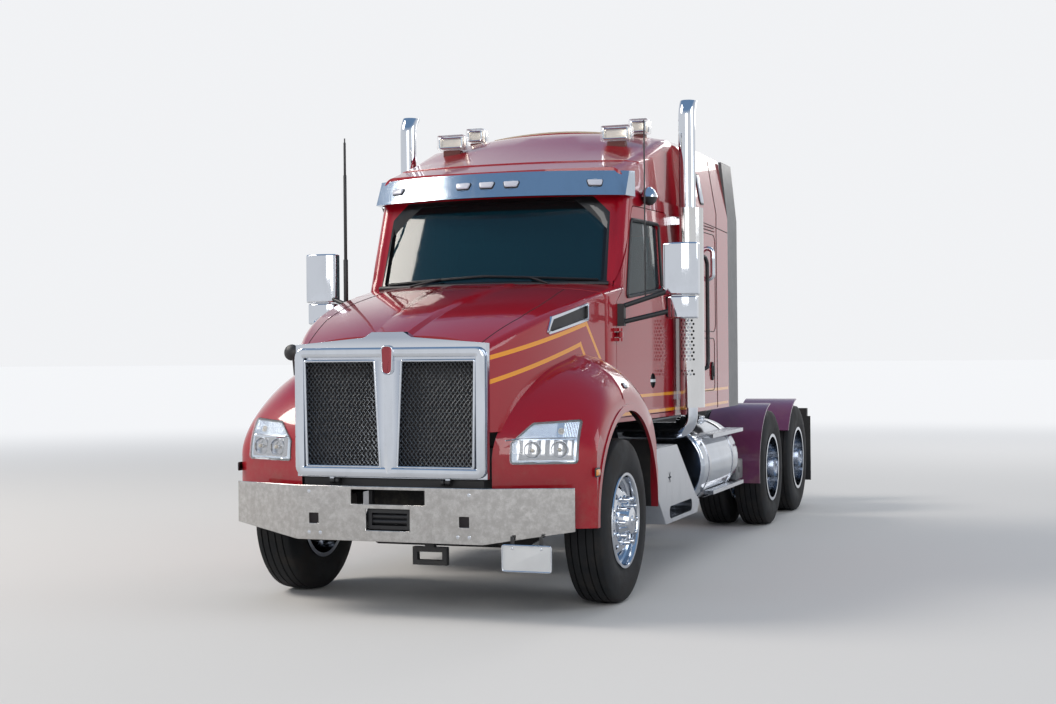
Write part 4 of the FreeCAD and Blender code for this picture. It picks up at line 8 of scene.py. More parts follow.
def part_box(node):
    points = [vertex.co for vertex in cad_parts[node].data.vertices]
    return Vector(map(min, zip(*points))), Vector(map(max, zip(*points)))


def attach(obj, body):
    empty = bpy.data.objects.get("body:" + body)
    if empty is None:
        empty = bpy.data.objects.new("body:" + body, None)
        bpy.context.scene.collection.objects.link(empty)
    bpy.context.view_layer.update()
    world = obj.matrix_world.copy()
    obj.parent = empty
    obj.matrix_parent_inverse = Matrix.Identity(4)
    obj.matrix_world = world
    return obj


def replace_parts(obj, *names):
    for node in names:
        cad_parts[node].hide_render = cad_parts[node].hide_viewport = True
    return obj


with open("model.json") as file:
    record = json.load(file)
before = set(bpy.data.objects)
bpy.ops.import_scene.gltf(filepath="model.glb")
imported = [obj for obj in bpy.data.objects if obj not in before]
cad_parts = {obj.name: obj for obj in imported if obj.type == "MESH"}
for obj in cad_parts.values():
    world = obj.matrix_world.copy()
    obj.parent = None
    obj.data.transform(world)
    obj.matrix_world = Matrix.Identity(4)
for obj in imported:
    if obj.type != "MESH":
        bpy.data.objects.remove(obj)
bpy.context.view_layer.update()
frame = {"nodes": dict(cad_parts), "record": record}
nodes = frame["nodes"]
bodies = frame["record"]["behaviour"]["bodies"]
bodyOf = {node: body for body, members in bodies.items() for node in members}
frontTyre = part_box("tyre_front_left")
axleY = (frontTyre[0].y + frontTyre[1].y) / 2  # places along the truck are counted from the front axle
axleZ = 0.525  # height of every wheel's centre
sides = (("left", 1), ("right", -1))
print("frame loaded")


def at(x, y, z):
    return Vector((x, y + axleY, z))


# Selection, edit mode and modifiers, as by hand
def clearSelection():
    if bpy.context.object and bpy.context.object.mode != "OBJECT":
        bpy.ops.object.mode_set(mode="OBJECT")
    bpy.ops.object.select_all(action="DESELECT")


def pickUp(*things):
    clearSelection()
    for thing in things:
        thing.select_set(True)
    bpy.context.view_layer.objects.active = things[0]


def settle(thing):
    pickUp(thing)
    bpy.ops.object.transform_apply(location=True, rotation=True, scale=True)


def useModifier(thing, kind, **settings):
    pickUp(thing)
    mod = thing.modifiers.new(kind.title(), kind)
    for key, value in settings.items():
        setattr(mod, key, value)
    bpy.ops.object.modifier_apply(modifier=mod.name)


def rounded(thing, width, segments=2, angle=35):
    useModifier(thing, "BEVEL", width=width, segments=segments, limit_method="ANGLE",
                angle_limit=math.radians(angle), harden_normals=False)
    return thing


def traced(points, closed=False):
    # A chain of points drawn by extruding one point, made a face when closed
    clearSelection()
    bpy.ops.mesh.primitive_plane_add(size=1, location=(0, 0, 0))
    thing = bpy.context.object
    bpy.ops.object.mode_set(mode="EDIT")
    bpy.ops.mesh.select_mode(type="VERT")
    bpy.ops.mesh.select_all(action="SELECT")
    bpy.ops.mesh.merge(type="CENTER")
    bpy.ops.transform.translate(value=points[0])
    here = points[0]
    for point in points[1:]:
        bpy.ops.mesh.extrude_region_move(TRANSFORM_OT_translate={"value": point - here})
        here = point
    if closed:
        bpy.ops.mesh.select_all(action="SELECT")
        bpy.ops.mesh.edge_face_add()
    bpy.ops.object.mode_set(mode="OBJECT")
    return thing


def turnedOut(thing):
    pickUp(thing)
    bpy.ops.object.mode_set(mode="EDIT")
    bpy.ops.mesh.select_all(action="SELECT")
    bpy.ops.mesh.remove_doubles(threshold=0.00002)
    bpy.ops.mesh.normals_make_consistent(inside=False)
    bpy.ops.object.mode_set(mode="OBJECT")
    return thing


def spun(profile, centre, axis=(1, 0, 0), steps=96):
    # Turns a chain of points about an axis through centre
    thing = traced(profile)
    bpy.ops.object.mode_set(mode="EDIT")
    bpy.ops.mesh.select_all(action="SELECT")
    bpy.ops.mesh.spin(steps=steps, angle=math.tau, center=centre, axis=axis, use_auto_merge=True)
    bpy.ops.object.mode_set(mode="OBJECT")
    return turnedOut(thing)


def turned(outline, steps=32, lift=0.0):
    # A round piece about Z, from radius and height
    return spun([Vector((r, 0, up + lift)) for r, up in outline], (0, 0, 0), (0, 0, 1), steps)


def slab(outline, push):
    # A closed outline pushed out into a solid
    thing = traced(outline, closed=True)
    bpy.ops.object.mode_set(mode="EDIT")
    bpy.ops.mesh.select_all(action="SELECT")
    bpy.ops.mesh.extrude_region_move(TRANSFORM_OT_translate={"value": push})
    bpy.ops.object.mode_set(mode="OBJECT")
    return turnedOut(thing)


def block(low, high, edge=0.003):
    clearSelection()
    low, high = Vector(low), Vector(high)
    bpy.ops.mesh.primitive_cube_add(size=1, location=(low + high) / 2)
    thing = bpy.context.object
    thing.scale = high - low
    settle(thing)
    return rounded(thing, edge) if edge else thing


def drum(a, b, radius, vertices=32, edge=0.0):
    # A round piece from a to b
    clearSelection()
    a, b = Vector(a), Vector(b)
    bpy.ops.mesh.primitive_cylinder_add(vertices=vertices, radius=radius, depth=(b - a).length,
                                        location=(a + b) / 2)
    thing = bpy.context.object
    thing.rotation_mode = "QUATERNION"
    thing.rotation_quaternion = (b - a).to_track_quat("Z", "Y")
    settle(thing)
    return rounded(thing, edge) if edge else thing


def joined(things):
    pickUp(*things)
    if len(things) > 1:
        bpy.ops.object.join()
    return bpy.context.object


def copied(thing, move=(0, 0, 0)):
    twin = thing.copy()
    twin.data = thing.data.copy()
    bpy.context.scene.collection.objects.link(twin)
    twin.data.transform(Matrix.Translation(Vector(move)))
    return twin


def mirroredTwin(thing):
    # The other side's piece, with its faces turned the right way again
    twin = copied(thing)
    twin.data.transform(Matrix.Scale(-1, 4, (1, 0, 0)))
    twin.data.flip_normals()
    return twin


def fit(thing, name, body, material, angle=35):
    # Names a finished piece and gives it its body, finish and smooth faces
    thing.name = name
    settle(thing)
    bpy.ops.object.shade_smooth_by_angle(angle=math.radians(angle))
    thing.data.materials.clear()
    thing.data.materials.append(material)
    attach(thing, body)
    return thing


def dressed(node, material, slotName, angle=30):
    # A merged, smoothly shaded stand-in for a solid, in the same place
    source = nodes[node]
    thing = bpy.data.objects.new(node + "Skin", source.data.copy())
    thing.matrix_world = source.matrix_world
    bpy.context.scene.collection.objects.link(thing)
    pickUp(thing)
    if thing.data.has_custom_normals:
        bpy.ops.mesh.customdata_custom_splitnormals_clear()
    bpy.ops.object.mode_set(mode="EDIT")
    bpy.ops.mesh.select_all(action="SELECT")
    bpy.ops.mesh.remove_doubles(threshold=0.00002)
    bpy.ops.object.mode_set(mode="OBJECT")
    fit(thing, node + "Skin", bodyOf[node], material, angle)
    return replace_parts(thing, node)


def paintFaces(thing, material, wanted):
    # Gives a second finish to the faces whose centre is wanted
    thing.data.materials.append(material)
    last = len(thing.data.materials) - 1
    for face in thing.data.polygons:
        if wanted(face.center, face.normal):
            face.material_index = last


# Shader sums: a socket that does arithmetic
def operator(operation, swapped=False):
    def combine(self, other):
        a, b = (other, self) if swapped else (self, other)
        return self.shader.sums(operation, a, b)
    return combine


class Signal:
    def __init__(self, shader, socket):
        self.shader = shader
        self.socket = socket

    __add__ = operator("ADD")
    __radd__ = operator("ADD", True)
    __sub__ = operator("SUBTRACT")
    __rsub__ = operator("SUBTRACT", True)
    __mul__ = operator("MULTIPLY")
    __rmul__ = operator("MULTIPLY", True)
    __truediv__ = operator("DIVIDE")
    __gt__ = operator("GREATER_THAN")
    __lt__ = operator("LESS_THAN")


class Shader:
    def __init__(self, name):
        self.material = bpy.data.materials.new(name)
        self.material.use_nodes = True
        self.tree = self.material.node_tree
        self.surface = self.tree.nodes["Principled BSDF"]
        self.place = self.node("ShaderNodeTexCoord", {}, {}, "Object")
        split = self.node("ShaderNodeSeparateXYZ", {}, {"Vector": self.place}, "X")
        self.x = split
        self.y = Signal(self, split.socket.node.outputs["Y"])
        self.z = Signal(self, split.socket.node.outputs["Z"])

    def node(self, kind, settings, inputs, output=0):
        made = self.tree.nodes.new(kind)
        for key, value in settings.items():
            if key == "stops":
                ramp = made.color_ramp
                while len(ramp.elements) < len(value):
                    ramp.elements.new(0.5)
                for element, (position, colour) in zip(ramp.elements, value):
                    element.position = position
                    element.color = (*colour, 1)
            else:
                setattr(made, key, value)
        for key, value in inputs.items():
            self.plug(made.inputs[key], value)
        return Signal(self, made.outputs[output])

    def plug(self, socket, value):
        if isinstance(value, Signal):
            self.tree.links.new(value.socket, socket)
        elif isinstance(value, (tuple, list)) and socket.type == "RGBA":
            socket.default_value = (*value, 1)
        else:
            socket.default_value = value

    def sums(self, operation, a, b=0.0):
        return self.node("ShaderNodeMath", {"operation": operation}, {0: a, 1: b})

    def clamped(self, a):
        return self.node("ShaderNodeClamp", {}, {"Value": a})

    def smooth(self, value, low, high):
        return self.node("ShaderNodeMapRange", {"interpolation_type": "SMOOTHSTEP"},
                         {"Value": value, "From Min": low, "From Max": high})

    def noise(self, scale, detail=2.0, rough=0.5, stretch=None):
        place = self.place
        if stretch:
            place = self.node("ShaderNodeMapping", {}, {"Vector": self.place, "Scale": stretch})
        return self.node("ShaderNodeTexNoise", {}, {"Vector": place, "Scale": scale, "Detail": detail,
                                                    "Roughness": rough})

    def mix(self, factor, a, b):
        made = self.tree.nodes.new("ShaderNodeMix")
        made.data_type = "RGBA"
        for index, value in ((0, factor), (6, a), (7, b)):
            self.plug(made.inputs[index], value)
        return Signal(self, made.outputs[2])

    def bump(self, height, distance, strength=1.0):
        return self.node("ShaderNodeBump", {}, {"Height": height, "Distance": distance,
                                                "Strength": strength})

    def finish(self, **inputs):
        for key, value in inputs.items():
            self.plug(self.surface.inputs[key.replace("_", " ")], value)
        return self.material


# Colours and finishes, one function for each material
colours = {
    "red": (0.33, 0.0035, 0.013),
    "redDeep": (0.21, 0.002, 0.010),
    "stripe": (0.80, 0.30, 0.006),
    "dust": (0.22, 0.15, 0.11),
    "plum": (0.088, 0.018, 0.058),
    "plumPale": (0.17, 0.050, 0.125),
    "grime": (0.075, 0.064, 0.054),
    "archDust": (0.060, 0.052, 0.045),
    "sheetDark": (0.42, 0.41, 0.40),
    "sheetPale": (0.56, 0.55, 0.54),
    "frameEdgeShade": (0.26, 0.31, 0.40),
    "tyreDust": (0.085, 0.070, 0.058),
    "clothDark": (0.035, 0.036, 0.04),
    "clothPale": (0.07, 0.07, 0.075),
    "black": (0.008, 0.008, 0.009),
    "rubber": (0.011, 0.012, 0.014),
    "chrome": (0.60, 0.63, 0.68),
    "amber": (0.85, 0.28, 0.01),
    "lens": (0.85, 0.88, 0.92),
    "tail": (0.42, 0.006, 0.008),
}
stripeShares = {
    "hoodUpper": {"from": (-0.93, 1.575), "to": (0.13, 1.79), "down": (0.43, 1.46)},
    "hoodLower": {"from": (-0.93, 1.430), "to": (0.04, 1.655), "down": (0.19, 1.47)},
    "half": 0.0135,
    "hoodFrom": 0.635,
    "bands": (1.29, 1.172),
    "bandHalf": 0.011,
    "bandFrom": 0.90,
    "bandRear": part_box("sleeper_shell")[1].y - 0.03,
}
screenSurround = {"half": 0.858, "lean": 0.045, "low": 2.094, "high": 2.705, "rear": 0.93}


def lineMask(s, a, b, half):
    # 1 near the line from a to b, given as (place along the truck, height)
    run = b[0] - a[0]
    rise = b[1] - a[1]
    length = math.hypot(run, rise)
    along = ((s.y - (a[0] + axleY)) * (run / length)) + ((s.z - a[1]) * (rise / length))
    off = ((s.y - (a[0] + axleY)) * (rise / length)) - ((s.z - a[1]) * (run / length))
    near = s.sums("ABSOLUTE", off) < half
    return near * (along > -half) * (along < length + half)


coat = {"dustLow": 0.45, "dustHigh": 1.35, "dust": 0.42, "dustRough": 0.45, "ior": 1.25, "coatIor": 1.42}


def paintCoat(s, colour, rough):
    # Gloss clear coat with road dust low down and a slight ripple
    dirt = s.noise(5.0, 5.0, 0.65)
    low = 1 - s.smooth(s.z, coat["dustLow"], coat["dustHigh"])
    dust = s.clamped(low * s.smooth(dirt, 0.42, 0.75) * coat["dust"])
    colour = s.mix(dust, colour, colours["dust"])
    ripple = s.noise(38.0, 2.0, 0.5) * 0.35 + s.noise(4.5, 1.0, 0.4)
    return s.finish(Base_Color=colour, Roughness=dust * coat["dustRough"] + rough, Metallic=0.0,
                    IOR=coat["ior"], Coat_Weight=1.0 - dust, Coat_Roughness=0.03, Coat_IOR=coat["coatIor"],
                    Normal=s.bump(ripple, 0.0006, 0.35))


def makeBodyPaint(name, hoodStripes, bandStripes, screenBorder=False):
    s = Shader(name)
    flake = s.noise(900.0, 1.0)
    colour = s.mix(s.smooth(flake, 0.45, 0.62) * 0.25, colours["red"], colours["redDeep"])
    mask = None
    sideways = s.sums("ABSOLUTE", s.x)
    if hoodStripes:
        half = stripeShares["half"]
        outer = s.smooth(sideways, stripeShares["hoodFrom"], stripeShares["hoodFrom"] + 0.010)
        for key in ("hoodUpper", "hoodLower"):
            line = stripeShares[key]
            both = s.sums("MAXIMUM", lineMask(s, line["from"], line["to"], half),
                          lineMask(s, line["to"], line["down"], half))
            mask = both if mask is None else s.sums("MAXIMUM", mask, both)
        mask = mask * outer
    if bandStripes:
        outer = (sideways > stripeShares["bandFrom"]) * (s.y < stripeShares["bandRear"])
        for height in stripeShares["bands"]:
            near = s.sums("ABSOLUTE", s.z - height) < stripeShares["bandHalf"]
            mask = near * outer if mask is None else s.sums("MAXIMUM", mask, near * outer)
    if mask is not None:
        colour = s.mix(mask, colour, colours["stripe"])
    if screenBorder:
        # Black around the windscreen on the cab: it fills the glass's cut corners, and the band under the
        # visor is painted shade
        edge = screenSurround
        inside = (sideways + (s.z - edge["low"]) * edge["lean"] < edge["half"]) * (s.z > edge["low"])
        inside = inside * (s.z < edge["high"]) * (s.y < edge["rear"] + axleY)
        colour = s.mix(inside, colour, colours["black"])
    return paintCoat(s, colour, 0.28)


def makePlumPaint():
    s = Shader("fenderPlum")
    return paintCoat(s, s.mix(s.noise(3.0, 3.0), colours["plum"], colours["plumPale"]), 0.32)


def smearOf(s):
    # Upright streaks of a wiped metal face
    return s.noise(7.0, 4.0, 0.6, (1.0, 1.0, 0.35))


def makeChrome(name, colour, rough, wave, metal=1.0):
    # Bright metal with faint smears and a slightly uneven face
    s = Shader(name)
    smear = smearOf(s)
    speck = s.noise(55.0, 3.0, 0.6)
    dull = tuple(part * 0.78 for part in colour)
    return s.finish(Base_Color=s.mix(s.smooth(smear, 0.4, 0.75) * 0.35, colour, dull),
                    Metallic=metal, Roughness=rough + s.smooth(smear, 0.45, 0.8) * 0.10,
                    Normal=s.bump(s.noise(6.0, 2.0) + speck * 0.06, wave, 0.5))


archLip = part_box("hood")[1].x - 0.05  # beyond this half width the arches' edges keep the body colour


def makeArchShade():
    # Matt black painted shade inside the wheel arches, with random dust over it, body colour again at the
    # lips
    s = Shader("archShade")
    lip = s.smooth(s.sums("ABSOLUTE", s.x), archLip - 0.003, archLip + 0.003)
    grime = s.noise(9.0, 5.0, 0.7)
    inside = s.mix(s.smooth(grime, 0.45, 0.8) * 0.4, colours["black"], colours["archDust"])
    return s.finish(Base_Color=s.mix(lip, inside, colours["redDeep"]), Roughness=0.75 - lip * 0.35,
                    Normal=s.bump(grime, 0.0010, 0.5))


# Painted shade across each grille bar: dark at the edges, bright at the crown
paintedRollShade = {"crown": 0.040, "topShare": 0.65, "middle": 0.20, "from": 0.015, "to": 0.055, "depth": 0.6}


def makeFrameChrome():
    # Bright metal of the grille frame, with painted shade darkening it towards the edges of each bar, where a
    # rolled bar would reflect less
    s = Shader("frameChrome")
    g, t = grille, paintedRollShade
    sideways = s.sums("ABSOLUTE", s.x)
    upward = s.sums("MAXIMUM", (s.z - g["top"]) * t["topShare"], g["bottom"] - s.z)
    outward = s.sums("MAXIMUM", sideways - g["outerTop"], upward)
    off = s.sums("ABSOLUTE", outward - t["crown"])
    middle = (outward < 0.0) * (sideways < t["middle"])
    off = off * (1 - middle) + sideways * middle * t["topShare"]
    edge = s.smooth(off, t["from"], t["to"]) * t["depth"]
    tone = s.mix(edge, colours["chrome"], colours["frameEdgeShade"])
    return s.finish(Base_Color=tone, Metallic=1.0, Roughness=0.05 + s.smooth(smearOf(s), 0.45, 0.8) * 0.10,
                    Normal=s.bump(s.noise(6.0, 2.0), 0.0012, 0.5))


def makeBumperSheet():
    # Polished plate that has dulled: fine mottling over broad ripples
    s = Shader("bumperSheet")
    mottle = s.noise(30.0, 5.0, 0.75, (0.8, 1.0, 0.8))
    broad = s.noise(2.6, 2.0)
    tone = s.mix(s.smooth(mottle, 0.36, 0.70), colours["sheetDark"], colours["sheetPale"])
    return s.finish(Base_Color=tone, Metallic=1.0, Roughness=0.12 + s.smooth(mottle, 0.4, 0.7) * 0.08,
                    Normal=s.bump(broad + mottle * 0.03, 0.0030, 0.6))


def makeBlackMetal(name, rough=0.5, dusty=0.5):
    s = Shader(name)
    grime = s.noise(9.0, 5.0, 0.7)
    tone = s.mix(s.smooth(grime, 0.45, 0.8) * dusty, colours["black"], colours["grime"])
    return s.finish(Base_Color=tone, Metallic=0.0, Roughness=rough + grime * 0.25,
                    Normal=s.bump(s.noise(70.0, 3.0), 0.0004, 0.5))


def makePlastic(name, colour, rough, grain=0.0002):
    s = Shader(name)
    tone = s.mix(s.noise(6.0, 4.0) * 0.5, colour, tuple(part * 0.6 for part in colour))
    return s.finish(Base_Color=tone, Roughness=rough + s.noise(12.0) * 0.12,
                    Normal=s.bump(s.noise(320.0, 2.0), grain, 0.5))


rubberLook = {
    "sipes": 36.0, "sipeLean": 30.0, "sipeShare": 0.05, "sipeFrom": 0.512, "rings": 520.0, "ringTo": 0.46,
    "cut": (0.006, 0.006, 0.006),
}


def makeRubber(name, centreY):
    # Tyre rubber: dusty black, with siped ribs on the tread, the sipes painted near black as shade, and rings
    # on the sidewall
    s = Shader(name)
    across = s.y - centreY
    up = s.z - axleZ
    radius = s.sums("SQRT", across * across + up * up)
    angle = s.sums("ARCTAN2", up, across)
    grime = s.noise(6.0, 5.0, 0.7)
    dust = s.smooth(grime, 0.4, 0.75) * 0.30
    tone = s.mix(dust, colours["rubber"], colours["tyreDust"])
    g = rubberLook
    sipe = s.sums("PINGPONG", angle * g["sipes"] + s.x * g["sipeLean"], 0.5)
    cuts = (sipe < g["sipeShare"]) * (radius > g["sipeFrom"])
    ring = s.sums("SINE", radius * g["rings"]) * (radius < g["ringTo"]) * 0.3
    return s.finish(Base_Color=s.mix(cuts * 0.8, tone, g["cut"]), Roughness=0.62 + dust, IOR=1.3,
                    Normal=s.bump(ring + s.noise(90.0, 3.0) * 0.4 - cuts, 0.0014, 0.7))


def makeGlass(name, tint, alpha, border=None):
    # Tinted pane; border gives the half width and heights beyond which it is black: printed at the sides and
    # bottom, painted shade of the visor along the top
    s = Shader(name)
    see = alpha + s.noise(3.0, 4.0) * 0.03
    if border:
        half, low, high = border
        shrink = (s.z - low) * 0.04
        printAndShade = s.sums("MAXIMUM", s.z < low, s.z > high)
        printAndShade = s.sums("MAXIMUM", printAndShade, s.sums("ABSOLUTE", s.x) + shrink > half)
        see = s.sums("MAXIMUM", see, printAndShade)
        tint = s.mix(printAndShade, tint, colours["black"])
    return s.finish(Base_Color=tint, Roughness=0.03 + s.noise(14.0, 4.0) * 0.03, Alpha=see, IOR=1.45)


def makeLens(name, colour, alpha, ribs=0.0):
    s = Shader(name)
    groove = s.sums("SINE", s.x * ribs) * 0.5 if ribs else s.noise(30.0)
    return s.finish(Base_Color=colour, Roughness=0.06 + s.noise(20.0) * 0.04, Alpha=alpha,
                    Coat_Weight=1.0, Coat_Roughness=0.02, Normal=s.bump(groove, 0.0012, 0.6))


def makeSeatCloth():
    s = Shader("seatCloth")
    weave = s.sums("SINE", s.x * 900.0) * s.sums("SINE", s.z * 900.0)
    return s.finish(Base_Color=s.mix(s.noise(12.0), colours["clothDark"], colours["clothPale"]),
                    Roughness=0.9, Sheen_Weight=0.3, Normal=s.bump(weave, 0.0006, 0.5))


bodyPaint = makeBodyPaint("bodyPaint", False, False)
hoodPaint = makeBodyPaint("hoodPaint", True, False)
bandPaint = makeBodyPaint("bandPaint", False, True)
cabPaint = makeBodyPaint("cabPaint", False, True, True)
plumPaint = makePlumPaint()
brightChrome = makeChrome("brightChrome", colours["chrome"], 0.05, 0.0012)
visorMetal = makeChrome("visorMetal", (0.50, 0.56, 0.63), 0.15, 0.0020)
tankMetal = makeChrome("tankMetal", (0.48, 0.52, 0.58), 0.08, 0.0030)
stepMetal = makeChrome("stepMetal", (0.52, 0.54, 0.58), 0.20, 0.0030)
wheelMetal = makeChrome("wheelMetal", (0.60, 0.63, 0.68), 0.09, 0.0002)
bumperSheet = makeBumperSheet()
frameBlack = makeBlackMetal("frameBlack", 0.42, 0.45)
castBlack = makeBlackMetal("castBlack", 0.6, 0.9)
trimBlack = makePlastic("trimBlack", (0.014, 0.014, 0.016), 0.42)
extenderGrey = makePlastic("extenderGrey", (0.060, 0.064, 0.072), 0.28)
cabinPlastic = makePlastic("cabinPlastic", (0.040, 0.042, 0.047), 0.6)
flapRubber = makePlastic("flapRubber", (0.016, 0.016, 0.017), 0.75, 0.0005)
screenGlass = makeGlass("screenGlass", (0.004, 0.028, 0.042), 0.80, (0.812, 2.104, 2.615))
doorGlass = makeGlass("doorGlass", (0.016, 0.040, 0.048), 0.58)
clearLens = makeLens("clearLens", colours["lens"], 0.22)
amberLens = makeLens("amberLens", colours["amber"], 0.95, 600.0)
tailLens = makeLens("tailLens", colours["tail"], 0.95, 600.0)
shieldMetal = makeChrome("shieldMetal", (0.62, 0.62, 0.62), 0.10, 0.0020)
seatCloth = makeSeatCloth()
greasedSteel = makeChrome("greasedSteel", (0.16, 0.15, 0.14), 0.30, 0.0030)
bulbGlass = makePlastic("bulbGlass", (0.62, 0.58, 0.50), 0.15)
frostLens = makePlastic("frostLens", (0.62, 0.64, 0.72), 0.12)
plateWhite = makePlastic("plateWhite", (0.68, 0.69, 0.70), 0.30)
# Black for panel gaps and seams, and for sheets and blocks that are painted shade
gapAndShadeBlack = makePlastic("gapAndShadeBlack", (0.010, 0.006, 0.007), 0.7)
footRed = makePlastic("footRed", (0.13, 0.030, 0.024), 0.5)
railBeige = makePlastic("railBeige", (0.46, 0.36, 0.26), 0.5)
capMetal = makeChrome("capMetal", (0.30, 0.40, 0.54), 0.22, 0.0006)
warmReflector = makeChrome("warmReflector", (0.72, 0.66, 0.56), 0.25, 0.0020)
badgeSatin = makeChrome("badgeSatin", (0.30, 0.05, 0.06), 0.28, 0.0006, 0.6)
lampChrome = makeChrome("lampChrome", (0.46, 0.48, 0.52), 0.08, 0.0006)
mirrorGlass = makeChrome("mirrorGlass", (0.70, 0.74, 0.78), 0.02, 0.0001)
print("materials made")

# The solids that keep their form, each with its finish
finishes = {
    "frame_rails": (frameBlack, "frame_black"),
    "crossmembers": (frameBlack, "frame_black"),
    "hood_hinge": (trimBlack, "frame_black"),
    "bumper": (bumperSheet, "bumper_chrome"),
    "winch": (trimBlack, "frame_black"),
    "tow_loop": (frameBlack, "frame_black"),
    "engine_block": (castBlack, "cast"),
    "radiator": (trimBlack, "frame_black"),
    "front_axle": (castBlack, "cast"),
    "suspension": (frameBlack, "frame_black"),
    "drive_axles": (castBlack, "cast"),
    "drive_shaft": (castBlack, "cast"),
    "cab_shell": (cabPaint, "body_paint"),
    "windshield": (screenGlass, "glass"),
    "roof_cap": (bodyPaint, "body_paint"),
    "sleeper_shell": (bandPaint, "body_paint"),
    "side_extenders": (extenderGrey, "extender_grey"),
    "sun_visor": (visorMetal, "visor_metal"),
    "dashboard": (cabinPlastic, "interior"),
    "steering_wheel": (cabinPlastic, "interior"),
    "seats": (seatCloth, "seat_cloth"),
    "fuel_tanks": (tankMetal, "tank_alloy"),
    "tank_straps": (stepMetal, "step_alloy"),
    "step_boxes": (stepMetal, "step_alloy"),
    "exhaust_stacks": (brightChrome, "stack_chrome"),
    "heat_shields": (shieldMetal, "shield_steel"),
    "fifth_wheel_base": (frameBlack, "frame_black"),
    "fifth_wheel_plate": (greasedSteel, "plate_steel"),
    "drive_fenders": (plumPaint, "fender_red"),
    "tail_beam": (frameBlack, "frame_black"),
    "mud_flaps": (flapRubber, "flap_rubber"),
    "hood": (hoodPaint, "body_paint"),
    "grille_surround": (brightChrome, "grille_chrome"),
    "hood_vents": (brightChrome, "vent_dark"),
    "door_left": (bandPaint, "body_paint"),
    "door_right": (bandPaint, "body_paint"),
    "door_glass_left": (doorGlass, "glass"),
    "door_glass_right": (doorGlass, "glass"),
    "mirror_left": (trimBlack, "mirror_chrome"),
    "mirror_right": (trimBlack, "mirror_chrome"),
    "knuckle_left": (castBlack, "cast"),
    "knuckle_right": (castBlack, "cast"),
    "beacons": (clearLens, "lamp_clear"),
    "headlights": (clearLens, "lamp_clear"),
}
skins = {node: dressed(node, *finish) for node, finish in finishes.items()}
print("solids dressed")


# Tyres with ribs and rims with hand holes and nuts
tyre = {
    "side": ((0.118, 0.292), (0.122, 0.308), (0.131, 0.345), (0.137, 0.38), (0.138, 0.41), (0.136, 0.44),
             (0.130, 0.475), (0.122, 0.495), (0.117, 0.508), (0.110, 0.516)),  # across, and radius
    "radius": 0.525, "treadHalf": 0.111, "crown": 0.006,
    "grooves": (0.074, 0.026, -0.026, -0.074), "grooveHalf": 0.0048, "grooveDepth": 0.013,
}
wheel = {
    "barrel": 0.2915, "barrelIn": 0.279, "well": 0.236, "hub": 0.108, "boltCircle": 0.143,
    "nuts": 10, "handHoles": 10, "handRadius": 0.024, "handCircle": 0.205, "half": 0.133, "wall": 0.024,
    "frontX": 1.075, "frontDisc": 0.072, "frontFace": 0.112, "frontNut": 0.058,
    "frontCap": (0.170, 0.182, 0.06),
    "frontCentre": [(0.088, 0.046), (0.158, 0.046), (0.158, 0.0), (0.176, 0.0), (0.176, 0.070),
                    (0.170, 0.084), (0.150, 0.088), (0.120, 0.098), (0.112, 0.104)],
    "driveX": 1.092, "twin": 0.343, "driveDisc": 0.094, "driveFace": 0.1713, "driveNut": 0.042,
    "driveCap": (0.058, 0.068, 0.058), "innerCentre": [(0.1713, 0.108)],
    "outerCentre": [(0.1473, 0.100), (-0.045, 0.094), (-0.058, 0.088), (-0.062, 0.070), (-0.062, 0.0),
                    (-0.038, 0.0), (-0.038, 0.046), (0.1713, 0.046)],
}
driveAxles = (("first", 4.74), ("second", 6.06))
axlePlaces = (0.0,) + tuple(y for axle, y in driveAxles)
rubbers = {y: makeRubber("tyreRubber%d" % index, y + axleY) for index, y in enumerate(axlePlaces)}


def tyreRing(x, y):
    # One tyre, its middle at x and its axle at y
    t = tyre
    crown = []
    for groove in t["grooves"]:
        top = t["radius"] - t["crown"] * (abs(groove) / t["treadHalf"]) ** 2
        half, floor = t["grooveHalf"], top - t["grooveDepth"]
        crown += [(groove + half, top), (groove + half * 0.6, floor), (groove - half * 0.6, floor),
                  (groove - half, top)]
    outline = list(t["side"]) + crown + [(-across, r) for across, r in reversed(t["side"])]
    profile = [at(x + across, y, axleZ + r) for across, r in outline]
    profile.append(profile[0])
    return spun(profile, at(x, y, axleZ))


def rimRing(x, y, disc, face, centre, out):
    # Barrel, pressed disc with hand holes, and centre; the disc dishes towards out
    w = wheel
    half, wall = w["half"], w["wall"]
    lip = [(-half, w["barrelIn"]), (disc - wall, w["barrelIn"]), (disc - wall, w["well"]),
           (face - wall, 0.181), (face - wall, w["hub"])]
    inner = centre + [(face, 0.170), (face - 0.002, 0.183), (disc + 0.006, w["well"] - 0.012),
                      (disc, w["well"] + 0.006), (disc + 0.002, w["barrelIn"] - 0.01),
                      (disc + 0.012, w["barrelIn"]), (half - 0.012, w["barrelIn"] + 0.002),
                      (half, w["barrelIn"] + 0.008), (half + 0.001, w["barrel"] + 0.013),
                      (half - 0.007, w["barrel"] + 0.016), (half - 0.012, w["barrel"] + 0.012),
                      (half - 0.013, w["barrel"]), (-half + 0.013, w["barrel"]),
                      (-half + 0.012, w["barrel"] + 0.012), (-half, w["barrel"] + 0.015)]
    profile = [at(x + out * across, y, axleZ + r) for across, r in lip + inner]
    profile.append(profile[0])
    ring = spun(profile, at(x, y, axleZ))
    tools = []
    for index in range(w["handHoles"]):
        turn = math.tau * (index + 0.5) / w["handHoles"]
        spot = at(x, y, axleZ) + Vector((0, math.cos(turn), math.sin(turn))) * w["handCircle"]
        far = Vector((out * (face + 0.10), 0, 0))
        tools.append(drum(spot, spot + far, w["handRadius"], 20))
    tool = joined(tools)
    useModifier(ring, "BOOLEAN", operation="DIFFERENCE", object=tool, solver="EXACT")
    bpy.data.objects.remove(tool)
    return ring


